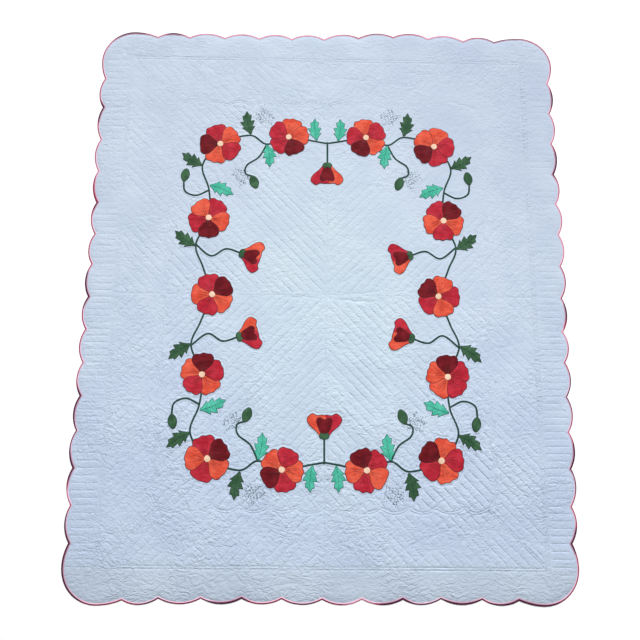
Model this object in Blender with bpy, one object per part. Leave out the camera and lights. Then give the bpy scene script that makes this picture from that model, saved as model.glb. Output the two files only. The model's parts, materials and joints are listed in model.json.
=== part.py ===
"""Scalloped bed quilt with a bound edge and an applique garland, lying flat, face up.

Metres, +Z up. +X is to the right of someone facing the quilt, and +Y is its top end.
The origin is on the surface that the quilt lies on, under the middle of its outline.
"""

import math
from collections import namedtuple

import bmesh
import bpy
from mathutils import Vector
from mathutils.geometry import delaunay_2d_cdt

# ---- scalloped edge: ten scallops across, fourteen down, a large round lobe at each corner ----
SCALLOP_DEPTH = 0.0195
CORNER_RADIUS = 0.140
EDGE_STEPS = {"scallop": 4, "half_lobe": 2, "corner": 4}

# Sides run anticlockwise: the direction of travel, how far out the cusps lie, where along the
# side the first cusp is, and the width of each scallop as it was marked by hand.
Side = namedtuple("Side", "name travel cusp_line first_cusp widths")
SIDES = (
    Side("bottom", (1, 0), 1.178, -0.762,
         (0.137, 0.161, 0.155, 0.152, 0.156, 0.149, 0.156, 0.145, 0.159, 0.141)),
    Side("right", (0, 1), 0.981, -0.969,
         (0.138, 0.143, 0.142, 0.139, 0.139, 0.126, 0.141, 0.139, 0.138, 0.136, 0.134, 0.141,
          0.141, 0.144)),
    Side("top", (-1, 0), 1.172, -0.748,
         (0.140, 0.158, 0.156, 0.156, 0.153, 0.146, 0.146, 0.155, 0.157, 0.141)),
    Side("left", (0, -1), 0.980, -0.965,
         (0.138, 0.150, 0.144, 0.142, 0.139, 0.130, 0.138, 0.135, 0.137, 0.134, 0.136, 0.142,
          0.141, 0.140)),
)

# Slow bows of the edge: the place along the side's travel, how far the bow reaches to each
# hand, and how far out it pushes the cusps.
Bow = namedtuple("Bow", "side place reach rise")
BOWS = (
    Bow("bottom", -0.80, 0.25, 0.010),
    Bow("bottom", 0.50, 0.30, -0.005),
    Bow("right", 0.27, 0.45, 0.008),
    Bow("right", -1.00, 0.35, -0.014),
    Bow("top", -0.30, 0.38, 0.018),
    Bow("left", -0.25, 0.28, -0.007),
    Bow("left", 0.70, 0.35, 0.007),
)

# ---- quilted body: heights of its top and underside, and the lines it is quilted along ----
CROWN = 0.0044
CHANNEL = 0.0034
EDGE_TOP = 0.0023
EDGE_UNDER = 0.0013
FRAME_X = 0.865
FRAME_Y = 1.066
CHANNEL_PITCH = 0.0424
RIDGE_CLEARANCE = 0.019
RIDGE_STEP = 0.005
SHORTEST_RIDGE = 0.012

# Rounded rectangles: the crown of the border, and the edge of the flat underside.
Round = namedtuple("Round", "half_x half_y radius steps")
BORDER_CROWN = Round(0.922, 1.120, 0.100, 4)
FLAT_UNDERSIDE = Round(0.940, 1.135, 0.110, 4)

# The scalloped line quilted round the garland has even lobes and rounder corners.
GARLAND_LINE_X = 0.655
GARLAND_LINE_Y = 0.840
GARLAND_LOBES_ACROSS = 10
GARLAND_LOBES_UP = 13
GARLAND_LOBE = 0.110
GARLAND_LOBE_DEPTH = 0.022
GARLAND_CORNER_RADIUS = 0.085
GARLAND_STEPS = {"scallop": 3, "half_lobe": 2, "corner": 3}

# ---- binding: one bias strip folded over the edge ----
BODY_INSET = 0.0013
BINDING_WIDTH = 0.0070
BINDING_FOLD = 0.0009
Corner = namedtuple("Corner", "inset height")
BINDING_SECTION = (
    Corner(0.0, 0.0005),
    Corner(0.0, 0.0033),
    Corner(BINDING_WIDTH, 0.00315),
    Corner(BINDING_FOLD, 0.00265),
    Corner(BINDING_FOLD, 0.0010),
    Corner(BINDING_WIDTH, 0.0007),
)

# ---- applique: cloth shapes 1 mm thick in two layers ----
Layer = namedtuple("Layer", "low high")
STEM_LAYER = Layer(0.0047, 0.0057)
PIECE_LAYER = Layer(0.0060, 0.0070)
STEM_WIDTH = 0.0085
STEM_STEP = 0.042

# The garland is laid out in the quarter with +X and +Y, and mirrored into the other three.
# A row on a middle line has only two copies. A piece's x and y are its foot, or the middle of
# an open blossom, and it points the way that its turn in degrees gives.
Blossom = namedtuple("Blossom", "x y turn radius")
BLOSSOMS = (
    Blossom(0.168, 0.700, 12, 0.089),
    Blossom(0.462, 0.662, -20, 0.092),
    Blossom(0.497, 0.330, 34, 0.090),
    Blossom(0.468, 0.000, -90, 0.090),
)
Piece = namedtuple("Piece", "x y turn length width")
CUPS = (
    Piece(0.000, 0.580, 270, 0.105, 0.140),
    Piece(0.362, 0.178, 196, 0.100, 0.135),
)
BUDS = (
    Piece(0.322, 0.520, 250, 0.064, 0.038),
    Piece(0.612, 0.488, 100, 0.062, 0.036),
)
MINT_LEAVES = (
    Piece(0.046, 0.684, 85, 0.104, 0.048),
    Piece(0.262, 0.664, 262, 0.108, 0.050),
    Piece(0.500, 0.474, 202, 0.112, 0.052),
)
FOREST_LEAVES = (
    Piece(0.332, 0.708, 80, 0.112, 0.052),
    Piece(0.534, 0.562, 32, 0.108, 0.050),
    Piece(0.548, 0.206, 36, 0.110, 0.052),
)
# Stems, by the points that the middle of each bias strip passes through.
VINE = ((0.006, 0.673), (0.060, 0.682), (0.168, 0.700), (0.262, 0.666), (0.336, 0.704),
        (0.462, 0.662), (0.534, 0.562), (0.502, 0.452), (0.497, 0.330), (0.546, 0.212),
        (0.512, 0.118), (0.468, 0.005))
SIDE_CUP_STEM = ((0.546, 0.212), (0.480, 0.164), (0.420, 0.194), (0.356, 0.176))
INNER_BUD_STEM = ((0.262, 0.666), (0.294, 0.606), (0.344, 0.568), (0.350, 0.530), (0.320, 0.516))
OUTER_BUD_STEM = ((0.502, 0.452), (0.556, 0.428), (0.604, 0.446), (0.612, 0.494))
MIDDLE_CUP_STEM = ((0.000, 0.690), (0.000, 0.572))

# Half outlines from foot to tip, as shares of the length and of the half width.
Station = namedtuple("Station", "along across")
LEAF_HALF = (Station(0.14, 0.52), Station(0.34, 1.00), Station(0.60, 0.86), Station(0.82, 0.44))
CUP_HALF = (Station(0.02, 0.16), Station(0.26, 0.42), Station(0.52, 0.86), Station(0.78, 1.00),
            Station(0.97, 0.66))
BUD_HALF = (Station(0.10, 0.46), Station(0.34, 0.96), Station(0.66, 0.92), Station(0.90, 0.44))
CUP_MOUTH = 0.90

# One petal of an open blossom, as shares of its turn and of the blossom's radius.
PETALS = 5
Edge = namedtuple("Edge", "turn reach")
PETAL_EDGE = (Edge(0.00, 0.74), Edge(0.22, 0.99), Edge(0.50, 0.94), Edge(0.78, 1.00))

# ---- cloths: name, colour and roughness ----
Cloth = namedtuple("Cloth", "name colour roughness")
GROUND_CLOTH = Cloth("ground_cloth", (0.66, 0.74, 0.85), 0.90)
BINDING_CLOTH = Cloth("binding_cloth", (0.62, 0.10, 0.18), 0.85)
PETAL_CLOTH = Cloth("petal_cloth", (0.70, 0.07, 0.06), 0.85)
MINT_CLOTH = Cloth("mint_cloth", (0.06, 0.48, 0.32), 0.85)
FOREST_CLOTH = Cloth("forest_cloth", (0.03, 0.11, 0.06), 0.85)
STEM_CLOTH = Cloth("stem_cloth", (0.02, 0.08, 0.05), 0.85)

# Points closer than this are one point when a plane region is cut into triangles.
MEETING_GAP = 1e-5
QUARTERS = ((1, 1), (-1, 1), (-1, -1), (1, -1))


# ---------------------------------------------------------------- outlines

def bowed(side, along):
    """How far the slow bows of one side push a cusp out at this place along it."""
    push = 0.0
    for bow in BOWS:
        away = abs(along - bow.place)
        if bow.side == side and away < bow.reach:
            push += bow.rise * math.cos(0.5 * math.pi * away / bow.reach) ** 2
    return push


def drop_from_crest(away, half_width, depth):
    """Drop of a round lobe below its crest, at a distance to one side of the crest."""
    radius = (half_width ** 2 + depth ** 2) / (2.0 * depth)
    return radius - math.sqrt(max(0.0, radius ** 2 - away ** 2))


def scallop(start, end, outward, depth, steps):
    """Points of one scallop, from its first cusp up to but not including its last."""
    half = 0.5 * (end - start).length
    points = []
    for step in range(steps):
        share = step / steps
        height = depth - drop_from_crest((2.0 * share - 1.0) * half, half, depth)
        points.append(start.lerp(end, share) + outward * height)
    return points


def corner_lobe(start, end, travel, outward, depth, radius, steps):
    """A large lobe round a corner: half a scallop, a quarter circle, half a scallop."""
    crest_out = start.dot(outward) + depth
    crest_on = end.dot(travel) + depth
    turn_on = crest_on - radius
    turn_out = crest_out - radius
    reach = turn_on - start.dot(travel)
    reach_end = turn_out - end.dot(outward)
    halves = steps["half_lobe"]
    points = []
    for step in range(halves):
        left = reach * (1.0 - step / halves)
        points.append(travel * (turn_on - left)
                      + outward * (crest_out - drop_from_crest(left, reach, depth)))
    for step in range(steps["corner"] + 1):
        angle = 0.5 * math.pi * step / steps["corner"]
        points.append(travel * (turn_on + radius * math.sin(angle))
                      + outward * (turn_out + radius * math.cos(angle)))
    for step in range(1, halves):
        gone = reach_end * step / halves
        points.append(travel * (crest_on - drop_from_crest(gone, reach_end, depth))
                      + outward * (turn_out - gone))
    return points


def scalloped_loop(runs, depth, radius, steps):
    """A closed scalloped outline, anticlockwise, from the travel and cusps of its four sides."""
    points = []
    for index, (travel, outward, cusps) in enumerate(runs):
        for start, end in zip(cusps, cusps[1:]):
            points += scallop(start, end, outward, depth, steps["scallop"])
        next_cusp = runs[(index + 1) % len(runs)][2][0]
        points += corner_lobe(cusps[-1], next_cusp, travel, outward, depth, radius, steps)
    return points


def edge_outline():
    """The outer edge of the binding, centred on the origin."""
    runs = []
    for side in SIDES:
        travel = Vector(side.travel)
        outward = Vector((travel.y, -travel.x))
        places = [side.first_cusp]
        for width in side.widths:
            places.append(places[-1] + width)
        cusps = [travel * place + outward * (side.cusp_line + bowed(side.name, place))
                 for place in places]
        runs.append((travel, outward, cusps))
    loop = scalloped_loop(runs, SCALLOP_DEPTH, CORNER_RADIUS, EDGE_STEPS)
    middle = Vector((0.5 * (min(p.x for p in loop) + max(p.x for p in loop)),
                     0.5 * (min(p.y for p in loop) + max(p.y for p in loop))))
    return [point - middle for point in loop]


def garland_line():
    """The scalloped line quilted round the garland."""
    runs = []
    for side in SIDES:
        travel = Vector(side.travel)
        outward = Vector((travel.y, -travel.x))
        across = travel.y == 0
        lobes = GARLAND_LOBES_ACROSS if across else GARLAND_LOBES_UP
        cusp_line = GARLAND_LINE_Y if across else GARLAND_LINE_X
        cusps = [travel * (GARLAND_LOBE * (index - 0.5 * lobes)) + outward * cusp_line
                 for index in range(lobes + 1)]
        runs.append((travel, outward, cusps))
    return scalloped_loop(runs, GARLAND_LOBE_DEPTH, GARLAND_CORNER_RADIUS, GARLAND_STEPS)


def rounded_rectangle(shape):
    """Points round the corners of a rounded rectangle, anticlockwise."""
    points = []
    for quarter, (sign_x, sign_y) in enumerate(QUARTERS):
        middle = Vector((sign_x * (shape.half_x - shape.radius),
                         sign_y * (shape.half_y - shape.radius)))
        for step in range(shape.steps + 1):
            angle = 0.5 * math.pi * (quarter + step / shape.steps)
            points.append(middle + Vector((math.cos(angle), math.sin(angle))) * shape.radius)
    return points


def inset_loop(loop, distance):
    """The loop moved inward by a distance, with mitred corners."""
    points = []
    for index, point in enumerate(loop):
        before = (point - loop[index - 1]).normalized()
        after = (loop[(index + 1) % len(loop)] - point).normalized()
        normal_before = Vector((-before.y, before.x))
        normal_after = Vector((-after.y, after.x))
        mitre = (normal_before + normal_after).normalized()
        points.append(point + mitre * (distance / mitre.dot(normal_after)))
    return points


# ---------------------------------------------------------------- triangulated sheets

class Sheet:
    """A plane region with lines in it, each at its own height, cut into triangles."""

    def __init__(self, outline, edge_height, meeting_height):
        self.points = []
        self.heights = []
        self.lines = []
        self.meeting_height = meeting_height
        self.outline = self.add_points(outline, edge_height)

    def add_points(self, points, height):
        first = len(self.points)
        self.points += points
        self.heights += [height] * len(points)
        return list(range(first, len(self.points)))

    def add_line(self, points, height, closed=False):
        run = self.add_points(points, height)
        self.lines += list(zip(run, run[1:]))
        if closed:
            self.lines.append((run[-1], run[0]))

    def triangles(self):
        """Corners with heights, and triangles; where two lines cross is a corner too."""
        places, _, faces, sources, _, owners = delaunay_2d_cdt(
            self.points, self.lines, [self.outline], 0, MEETING_GAP, True)
        corners = []
        for place, source in zip(places, sources):
            height = self.heights[source[0]] if source else self.meeting_height
            corners.append((place.x, place.y, height))
        return corners, [tuple(face) for face, owner in zip(faces, owners) if owner]


def united(outlines):
    """Triangles that cover the union of several closed outlines."""
    points = []
    loops = []
    for outline in outlines:
        loops.append(list(range(len(points), len(points) + len(outline))))
        points += outline
    places, _, faces, _, _, owners = delaunay_2d_cdt(points, [], loops, 0, MEETING_GAP, True)
    return places, [tuple(face) for face, owner in zip(faces, owners) if owner]


def close_sheets(bm, top, under):
    """Add a body between a top sheet and an under sheet that share one outline."""
    top_points, top_faces = top
    under_points, under_faces = under
    top_verts = [bm.verts.new(point) for point in top_points]
    under_verts = [bm.verts.new(point) for point in under_points]
    for face in top_faces:
        bm.faces.new([top_verts[index] for index in face])
    for face in under_faces:
        bm.faces.new([under_verts[index] for index in reversed(face)])

    def place_key(point):
        return (round(point[0], 5), round(point[1], 5))

    under_at = {place_key(point): vert for point, vert in zip(under_points, under_verts)}
    edges = set()
    for face in top_faces:
        edges.update(zip(face, face[1:] + face[:1]))
    for first, last in sorted(edges):
        if (last, first) not in edges:
            bm.faces.new([top_verts[first], under_at[place_key(top_points[first])],
                          under_at[place_key(top_points[last])], top_verts[last]])


# ---------------------------------------------------------------- objects

def cloth_material(cloth):
    material = bpy.data.materials.get(cloth.name) or bpy.data.materials.new(cloth.name)
    material.use_nodes = True
    shader = material.node_tree.nodes["Principled BSDF"]
    shader.inputs["Base Color"].default_value = (*cloth.colour, 1.0)
    shader.inputs["Roughness"].default_value = cloth.roughness
    shader.inputs["Metallic"].default_value = 0.0
    return material


def finish_object(name, bm, cloth):
    bmesh.ops.recalc_face_normals(bm, faces=bm.faces[:])
    mesh = bpy.data.meshes.new(name)
    bm.to_mesh(mesh)
    bm.free()
    mesh.materials.append(cloth_material(cloth))
    piece = bpy.data.objects.new(name, mesh)
    bpy.context.scene.collection.objects.link(piece)


def flat_piece(name, outlines, layer, cloth):
    """A flat cloth shape: the union of its outlines, between the heights of its layer."""
    places, faces = united(outlines)
    bm = bmesh.new()
    close_sheets(bm, ([(p.x, p.y, layer.high) for p in places], faces),
                 ([(p.x, p.y, layer.low) for p in places], faces))
    finish_object(name, bm, cloth)


# ---------------------------------------------------------------- quilt body and binding

def distance_to_loop(point, loop):
    nearest = math.inf
    for start, end in zip(loop, loop[1:] + loop[:1]):
        run = end - start
        share = max(0.0, min(1.0, (point - start).dot(run) / run.length_squared))
        nearest = min(nearest, (point - start - run * share).length)
    return nearest


def clear_runs(start, end, loop):
    """The stretches of a ridge that keep clear of the frame, the middle lines and the loop."""
    steps = int((end - start).length / RIDGE_STEP)
    runs = [[]]
    for step in range(steps + 1):
        point = start.lerp(end, step / steps)
        room = min(abs(point.x), abs(point.y), FRAME_X - abs(point.x), FRAME_Y - abs(point.y))
        if room > RIDGE_CLEARANCE and distance_to_loop(point, loop) > RIDGE_CLEARANCE:
            runs[-1].append(point)
        elif runs[-1]:
            runs.append([])
    return [(run[0], run[-1]) for run in runs
            if run and (run[-1] - run[0]).length > SHORTEST_RIDGE]


def field_line(offset):
    """Ends of the 45 degree line x = y + offset in the quarter with +X and +Y."""
    start = Vector((max(0.0, offset), max(0.0, -offset)))
    reach = min(FRAME_X - start.x, FRAME_Y - start.y)
    return start, start + Vector((reach, reach))


def in_quarter(points, quarter):
    return [Vector((point.x * quarter[0], point.y * quarter[1])) for point in points]


def build_body(edge):
    """The quilted sandwich: drawn in at the edge, with sewn channels that meet in chevrons."""
    outline = inset_loop(edge, BODY_INSET)
    loop = garland_line()
    top = Sheet(outline, EDGE_TOP, CHANNEL)
    top.add_line(rounded_rectangle(BORDER_CROWN), CROWN, closed=True)
    top.add_line([Vector((x * FRAME_X, y * FRAME_Y)) for x, y in QUARTERS], CHANNEL, closed=True)
    top.add_line([Vector((-FRAME_X, 0.0)), Vector((FRAME_X, 0.0))], CHANNEL)
    top.add_line([Vector((0.0, -FRAME_Y)), Vector((0.0, FRAME_Y))], CHANNEL)
    top.add_line(loop, CHANNEL, closed=True)
    for index in range(-int(FRAME_Y / CHANNEL_PITCH), int(FRAME_X / CHANNEL_PITCH) + 1):
        channel = field_line(index * CHANNEL_PITCH)
        ridges = clear_runs(*field_line((index + 0.5) * CHANNEL_PITCH), loop)
        for quarter in QUARTERS:
            top.add_line(in_quarter(channel, quarter), CHANNEL)
            for ridge in ridges:
                top.add_line(in_quarter(ridge, quarter), CROWN)
    under = Sheet(outline, EDGE_UNDER, 0.0)
    under.add_line(rounded_rectangle(FLAT_UNDERSIDE), 0.0, closed=True)
    bm = bmesh.new()
    close_sheets(bm, top.triangles(), under.triangles())
    finish_object("quilt_body", bm, GROUND_CLOTH)


def build_binding(edge):
    """One strip folded over the edge: a closed ring with a C-shaped section."""
    bm = bmesh.new()
    rings = []
    for corner in BINDING_SECTION:
        rings.append([bm.verts.new((point.x, point.y, corner.height))
                      for point in inset_loop(edge, corner.inset)])
    for ring, following in zip(rings, rings[1:] + rings[:1]):
        for index in range(len(edge)):
            after = (index + 1) % len(edge)
            bm.faces.new([ring[index], ring[after], following[after], following[index]])
    finish_object("binding", bm, BINDING_CLOTH)


# ---------------------------------------------------------------- applique

def placed(points, row, quarter):
    """Local points, with +Y along the piece, turned, placed and mirrored into a quarter."""
    turn = math.radians(row.turn - 90.0)
    cosine = math.cos(turn)
    sine = math.sin(turn)
    moved = in_quarter([Vector((row.x + across * cosine - along * sine,
                                row.y + across * sine + along * cosine))
                        for across, along in points], quarter)
    if quarter[0] * quarter[1] < 0:
        moved.reverse()
    return moved


def two_sided(stations, length, width, tip):
    """A closed outline from one half: up the right side, over the tip, down the left side."""
    right = [(0.5 * width * station.across, length * station.along) for station in stations]
    left = [(-across, along) for across, along in reversed(right)]
    return right + [(0.0, length * tip)] + left


def pointed_outline(stations, row):
    return [(0.0, 0.0)] + two_sided(stations, row.length, row.width, 1.0)


def leaf_outline(row):
    return pointed_outline(LEAF_HALF, row)


def bud_outline(row):
    return pointed_outline(BUD_HALF, row)


def cup_outline(row):
    return two_sided(CUP_HALF, row.length, row.width, CUP_MOUTH)


def blossom_outline(row):
    points = []
    for petal in range(PETALS):
        for edge in PETAL_EDGE:
            angle = 2.0 * math.pi * (petal + edge.turn) / PETALS
            reach = row.radius * edge.reach
            points.append((reach * math.cos(angle), reach * math.sin(angle)))
    return points


def build_copies(name, rows, outline, cloth):
    """One flat piece for each row of a table and each quarter it is mirrored into."""
    number = 0
    for row in rows:
        for quarter in QUARTERS:
            if (row.x == 0.0 and quarter[0] < 0) or (row.y == 0.0 and quarter[1] < 0):
                continue
            number += 1
            flat_piece(f"{name}_{number:02d}", [placed(outline(row), row, quarter)],
                       PIECE_LAYER, cloth)


def smooth_route(knots):
    """Points at a fairly even step along a smooth curve through the knots."""
    knots = [Vector(knot) for knot in knots]
    ends = [2 * knots[0] - knots[1]] + knots + [2 * knots[-1] - knots[-2]]
    curve = [knots[0]]
    for before, start, end, after in zip(ends, ends[1:], ends[2:], ends[3:]):
        pieces = max(1, round((end - start).length / STEM_STEP))
        for piece in range(1, pieces + 1):
            t = piece / pieces
            curve.append(0.5 * (2 * start + (end - before) * t
                                + (2 * before - 5 * start + 4 * end - after) * t ** 2
                                + (3 * start - before - 3 * end + after) * t ** 3))
    return curve


def strip_outline(route, quarter):
    """The outline of a bias strip along a route, mirrored into a quarter."""
    curve = in_quarter(smooth_route(route), quarter)
    left = []
    right = []
    for index, point in enumerate(curve):
        ahead = curve[min(index + 1, len(curve) - 1)]
        behind = curve[max(index - 1, 0)]
        travel = (ahead - behind).normalized()
        side = Vector((-travel.y, travel.x)) * (0.5 * STEM_WIDTH)
        left.append(point + side)
        right.append(point - side)
    return right + list(reversed(left))


def build_stems():
    """One joined run of bias strips in each quarter, and a single strip on the middle line."""
    for number, quarter in enumerate(QUARTERS, start=1):
        strips = [strip_outline(route, quarter)
                  for route in (VINE, SIDE_CUP_STEM, INNER_BUD_STEM, OUTER_BUD_STEM)]
        flat_piece(f"stems_{number}", strips, STEM_LAYER, STEM_CLOTH)
    for number, quarter in enumerate(((1, 1), (1, -1)), start=1):
        flat_piece(f"middle_stem_{number}", [strip_outline(MIDDLE_CUP_STEM, quarter)],
                   STEM_LAYER, STEM_CLOTH)


def main():
    for piece in list(bpy.data.objects):
        bpy.data.objects.remove(piece)
    edge = edge_outline()
    build_body(edge)
    build_binding(edge)
    build_stems()
    build_copies("blossom", BLOSSOMS, blossom_outline, PETAL_CLOTH)
    build_copies("cup", CUPS, cup_outline, PETAL_CLOTH)
    build_copies("bud", BUDS, bud_outline, FOREST_CLOTH)
    build_copies("mint_leaf", MINT_LEAVES, leaf_outline, MINT_CLOTH)
    build_copies("forest_leaf", FOREST_LEAVES, leaf_outline, FOREST_CLOTH)


main()
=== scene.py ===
"""Scalloped bed quilt with an applique garland, lying flat, face up: the look of every piece.

Metres, +Z up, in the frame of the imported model. The quilt is put together here in the order in
which it is made: the shapes are cut and sewn on, the cloth is quilted round them, and the
binding closes the edge.
"""

import json
import math
from collections import namedtuple

import bmesh
import bpy
import numpy as np
from mathutils import Matrix, Vector
from mathutils.geometry import delaunay_2d_cdt
from mathutils.kdtree import KDTree

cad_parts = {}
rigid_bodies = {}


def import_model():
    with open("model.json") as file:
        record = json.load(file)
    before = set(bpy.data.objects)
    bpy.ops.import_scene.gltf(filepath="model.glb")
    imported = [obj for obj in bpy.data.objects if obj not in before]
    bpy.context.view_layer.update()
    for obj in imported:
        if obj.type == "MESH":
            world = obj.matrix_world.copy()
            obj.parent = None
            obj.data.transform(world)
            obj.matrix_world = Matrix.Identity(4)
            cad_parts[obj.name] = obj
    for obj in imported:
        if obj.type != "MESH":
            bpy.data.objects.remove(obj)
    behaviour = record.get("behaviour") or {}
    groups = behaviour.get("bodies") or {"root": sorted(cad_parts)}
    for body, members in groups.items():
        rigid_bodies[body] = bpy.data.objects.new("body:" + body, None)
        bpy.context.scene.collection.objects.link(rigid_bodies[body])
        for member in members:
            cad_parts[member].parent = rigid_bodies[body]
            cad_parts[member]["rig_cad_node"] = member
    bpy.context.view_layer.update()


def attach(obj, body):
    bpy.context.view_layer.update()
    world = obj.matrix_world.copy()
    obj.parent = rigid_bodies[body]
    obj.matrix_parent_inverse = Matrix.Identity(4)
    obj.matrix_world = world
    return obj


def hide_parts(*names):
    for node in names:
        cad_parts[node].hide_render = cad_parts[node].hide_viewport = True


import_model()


# ========================================
# Stems: bias strips of very dark green cotton, 8.5 mm wide, their raw edges turned under.
# They are sewn on first, so that the leaves and blossoms cover their ends. One joined run
# goes round each quarter of the garland, and a short straight one holds each middle cup.
# ========================================

STEM_WIDTH = 0.0085
STEM_RISE = 0.0009
STEM_STEP = 0.005
# Across the strip and up from the cloth, as shares of the strip's width and rise.
STEM_SECTION = ((-0.50, -0.55), (-0.46, 0.45), (-0.22, 0.95), (0.08, 1.00), (0.36, 0.78),
                (0.50, -0.55))

# The garland is laid out in the quarter with +X and +Y, and mirrored into the other three.
QUARTERS = ((1, 1), (-1, 1), (-1, -1), (1, -1))
VINE = ((0.0015, 0.6725), (0.060, 0.682), (0.168, 0.700), (0.262, 0.666), (0.336, 0.704),
        (0.462, 0.662), (0.534, 0.562), (0.502, 0.452), (0.497, 0.330), (0.546, 0.212),
        (0.512, 0.118), (0.468, 0.005))
SIDE_CUP_STEM = ((0.546, 0.212), (0.480, 0.164), (0.420, 0.194), (0.356, 0.176))
INNER_BUD_STEM = ((0.262, 0.666), (0.294, 0.606), (0.344, 0.568), (0.350, 0.530), (0.320, 0.516))
OUTER_BUD_STEM = ((0.502, 0.452), (0.556, 0.428), (0.604, 0.446), (0.612, 0.494))
MIDDLE_CUP_STEM = ((0.000, 0.679), (0.000, 0.572))

# Nothing sewn by hand is quite flat or straight. A wavering has swells of about this size
# across and along, up to this height.
Waver = namedtuple("Waver", "across along height seed")
WAVER_CELLS = 128
STEM_PUCKERS = (Waver(0.013, 0.013, 0.07, 31),)
# The crowns of the quilted cloth stand at CLOTH_TOP, and rise and fall slowly.
CLOTH_TOP = 0.0047
SLOW_RISES = (Waver(0.34, 0.34, 0.00050, 11), Waver(0.13, 0.13, 0.00028, 12))
# How far marking and sewing by hand move everything, in X and in Y.
DRIFTS_IN_X = (Waver(0.24, 0.24, 0.0016, 21), Waver(0.085, 0.085, 0.0008, 22))
DRIFTS_IN_Y = (Waver(0.24, 0.24, 0.0016, 26), Waver(0.085, 0.085, 0.0008, 27))


def uneven(places, wavers):
    """The sum of some smooth waverings at an array of places."""
    total = np.zeros(len(places))
    for waver in wavers:
        table = np.random.default_rng(waver.seed).uniform(-1.0, 1.0, (WAVER_CELLS, WAVER_CELLS))
        cell = places / (waver.across, waver.along) + 0.5 * WAVER_CELLS
        corner = np.floor(cell).astype(int)
        share = cell - corner
        x, y = (share * share * (3.0 - 2.0 * share)).T
        left, low = corner.T % WAVER_CELLS
        right, high = (left + 1) % WAVER_CELLS, (low + 1) % WAVER_CELLS
        total += waver.height * ((table[left, low] * (1 - x) + table[right, low] * x) * (1 - y)
                                 + (table[left, high] * (1 - x) + table[right, high] * x) * y)
    return total


def lie_of_cloth(places):
    """Height of the crowns of the quilted cloth."""
    return CLOTH_TOP + uneven(places, SLOW_RISES)


def smooth_route(knots, step, closed=False):
    """Points about a step apart along a smooth curve through the knots."""
    knots = np.array(knots, float)
    if closed:
        ends = np.vstack([knots[-1:], knots, knots[:2]])
    else:
        ends = np.vstack([2 * knots[:1] - knots[1:2], knots, 2 * knots[-1:] - knots[-2:-1]])
    curve = [] if closed else [knots[0]]
    for before, start, end, after in zip(ends, ends[1:], ends[2:], ends[3:]):
        pieces = max(1, round(float(np.linalg.norm(end - start)) / step))
        for piece in range(1, pieces + 1):
            t = piece / pieces
            curve.append(0.5 * (2 * start + (end - before) * t
                                + (2 * before - 5 * start + 4 * end - after) * t ** 2
                                + (3 * start - before - 3 * end + after) * t ** 3))
    return np.array(curve)


# A run shorter than this has no direction.
SHORTEST = 1e-9


def left_of(curve, closed=False):
    """Unit vectors to the left of a curve at each of its points."""
    if closed:
        travel = np.roll(curve, -1, axis=0) - np.roll(curve, 1, axis=0)
    else:
        travel = np.gradient(curve, axis=0)
    travel /= np.maximum(np.linalg.norm(travel, axis=1, keepdims=True), SHORTEST)
    return np.stack([-travel[:, 1], travel[:, 0]], axis=1)


class Stock:
    """Corners and triangles gathered for one piece, each triangle with its cloth or thread."""

    def __init__(self):
        self.corners, self.faces, self.cloths, self.count = [], [], [], 0

    def add(self, corners, faces, cloth=0):
        self.corners.append(np.asarray(corners, float))
        self.faces.append(np.asarray(faces, int) + self.count)
        self.cloths.append(np.full(len(faces), cloth))
        self.count += len(corners)

    def add_grid(self, rows, cloth=0, closed=False):
        """Rows of corners that run forward, from the left one to the right one."""
        rows = np.asarray(rows, float)
        across, along = rows.shape[:2]
        index = np.arange(across * along).reshape(across, along)
        if closed:
            index = np.hstack([index, index[:, :1]])
        a, b = index[:-1, :-1].ravel(), index[:-1, 1:].ravel()
        c, d = index[1:, 1:].ravel(), index[1:, :-1].ravel()
        faces = np.vstack([np.stack([a, d, c], 1), np.stack([a, c, b], 1)])
        self.add(rows.reshape(-1, 3), faces, cloth)


SAME_PLACE = 1e-6


def finish_piece(name, stock, cloths, nodes):
    """Make the piece, drawn by hand, and put it in the place of its nodes."""
    corners = np.vstack(stock.corners)
    marked = corners[:, :2].copy()
    corners[:, 0] += uneven(marked, DRIFTS_IN_X)
    corners[:, 1] += uneven(marked, DRIFTS_IN_Y)
    mesh = bpy.data.meshes.new(name)
    mesh.from_pydata(corners.tolist(), [], np.vstack(stock.faces).tolist())
    for cloth in cloths:
        mesh.materials.append(cloth)
    mesh.polygons.foreach_set("material_index", np.concatenate(stock.cloths))
    work = bmesh.new()
    work.from_mesh(mesh)
    bmesh.ops.remove_doubles(work, verts=work.verts, dist=SAME_PLACE)
    work.to_mesh(mesh)
    work.free()
    mesh.shade_smooth()
    piece = bpy.data.objects.new(name, mesh)
    bpy.context.scene.collection.objects.link(piece)
    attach(piece, "root")
    if nodes:
        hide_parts(*nodes)
    return piece


def recipe(name, takes, gives):
    """A shader node group, its inputs and its outputs, each made with its name and kind."""
    tree = bpy.data.node_groups.new(name, "ShaderNodeTree")
    for way, sockets in (("INPUT", takes), ("OUTPUT", gives)):
        for label, kind in sockets.items():
            tree.interface.new_socket(label, in_out=way, socket_type=f"NodeSocket{kind}")
    ends = tree.nodes.new("NodeGroupInput"), tree.nodes.new("NodeGroupOutput")
    return tree, ends[0].outputs, ends[1].inputs


def feed(socket, value):
    """Join a socket to another socket, or set its value."""
    if isinstance(value, bpy.types.NodeSocket):
        socket.id_data.links.new(value, socket)
    else:
        socket.default_value = value


def new_node(kind, *values):
    """A new node where the first socket among these values is."""
    tree = next(value.id_data for value in values if isinstance(value, bpy.types.NodeSocket))
    return tree.nodes.new(kind)


def reckon(operation, *values):
    """The result of a Math node."""
    node = new_node("ShaderNodeMath", *values)
    node.operation = operation
    for socket, value in zip(node.inputs, values):
        feed(socket, value)
    return node.outputs[0]


def on_places(operation, first, second, result="Vector"):
    """A result of a Vector Math node."""
    node = new_node("ShaderNodeVectorMath", first, second)
    node.operation = operation
    feed(node.inputs[0], first)
    feed(node.inputs[1], second)
    return node.outputs[result]


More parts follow.
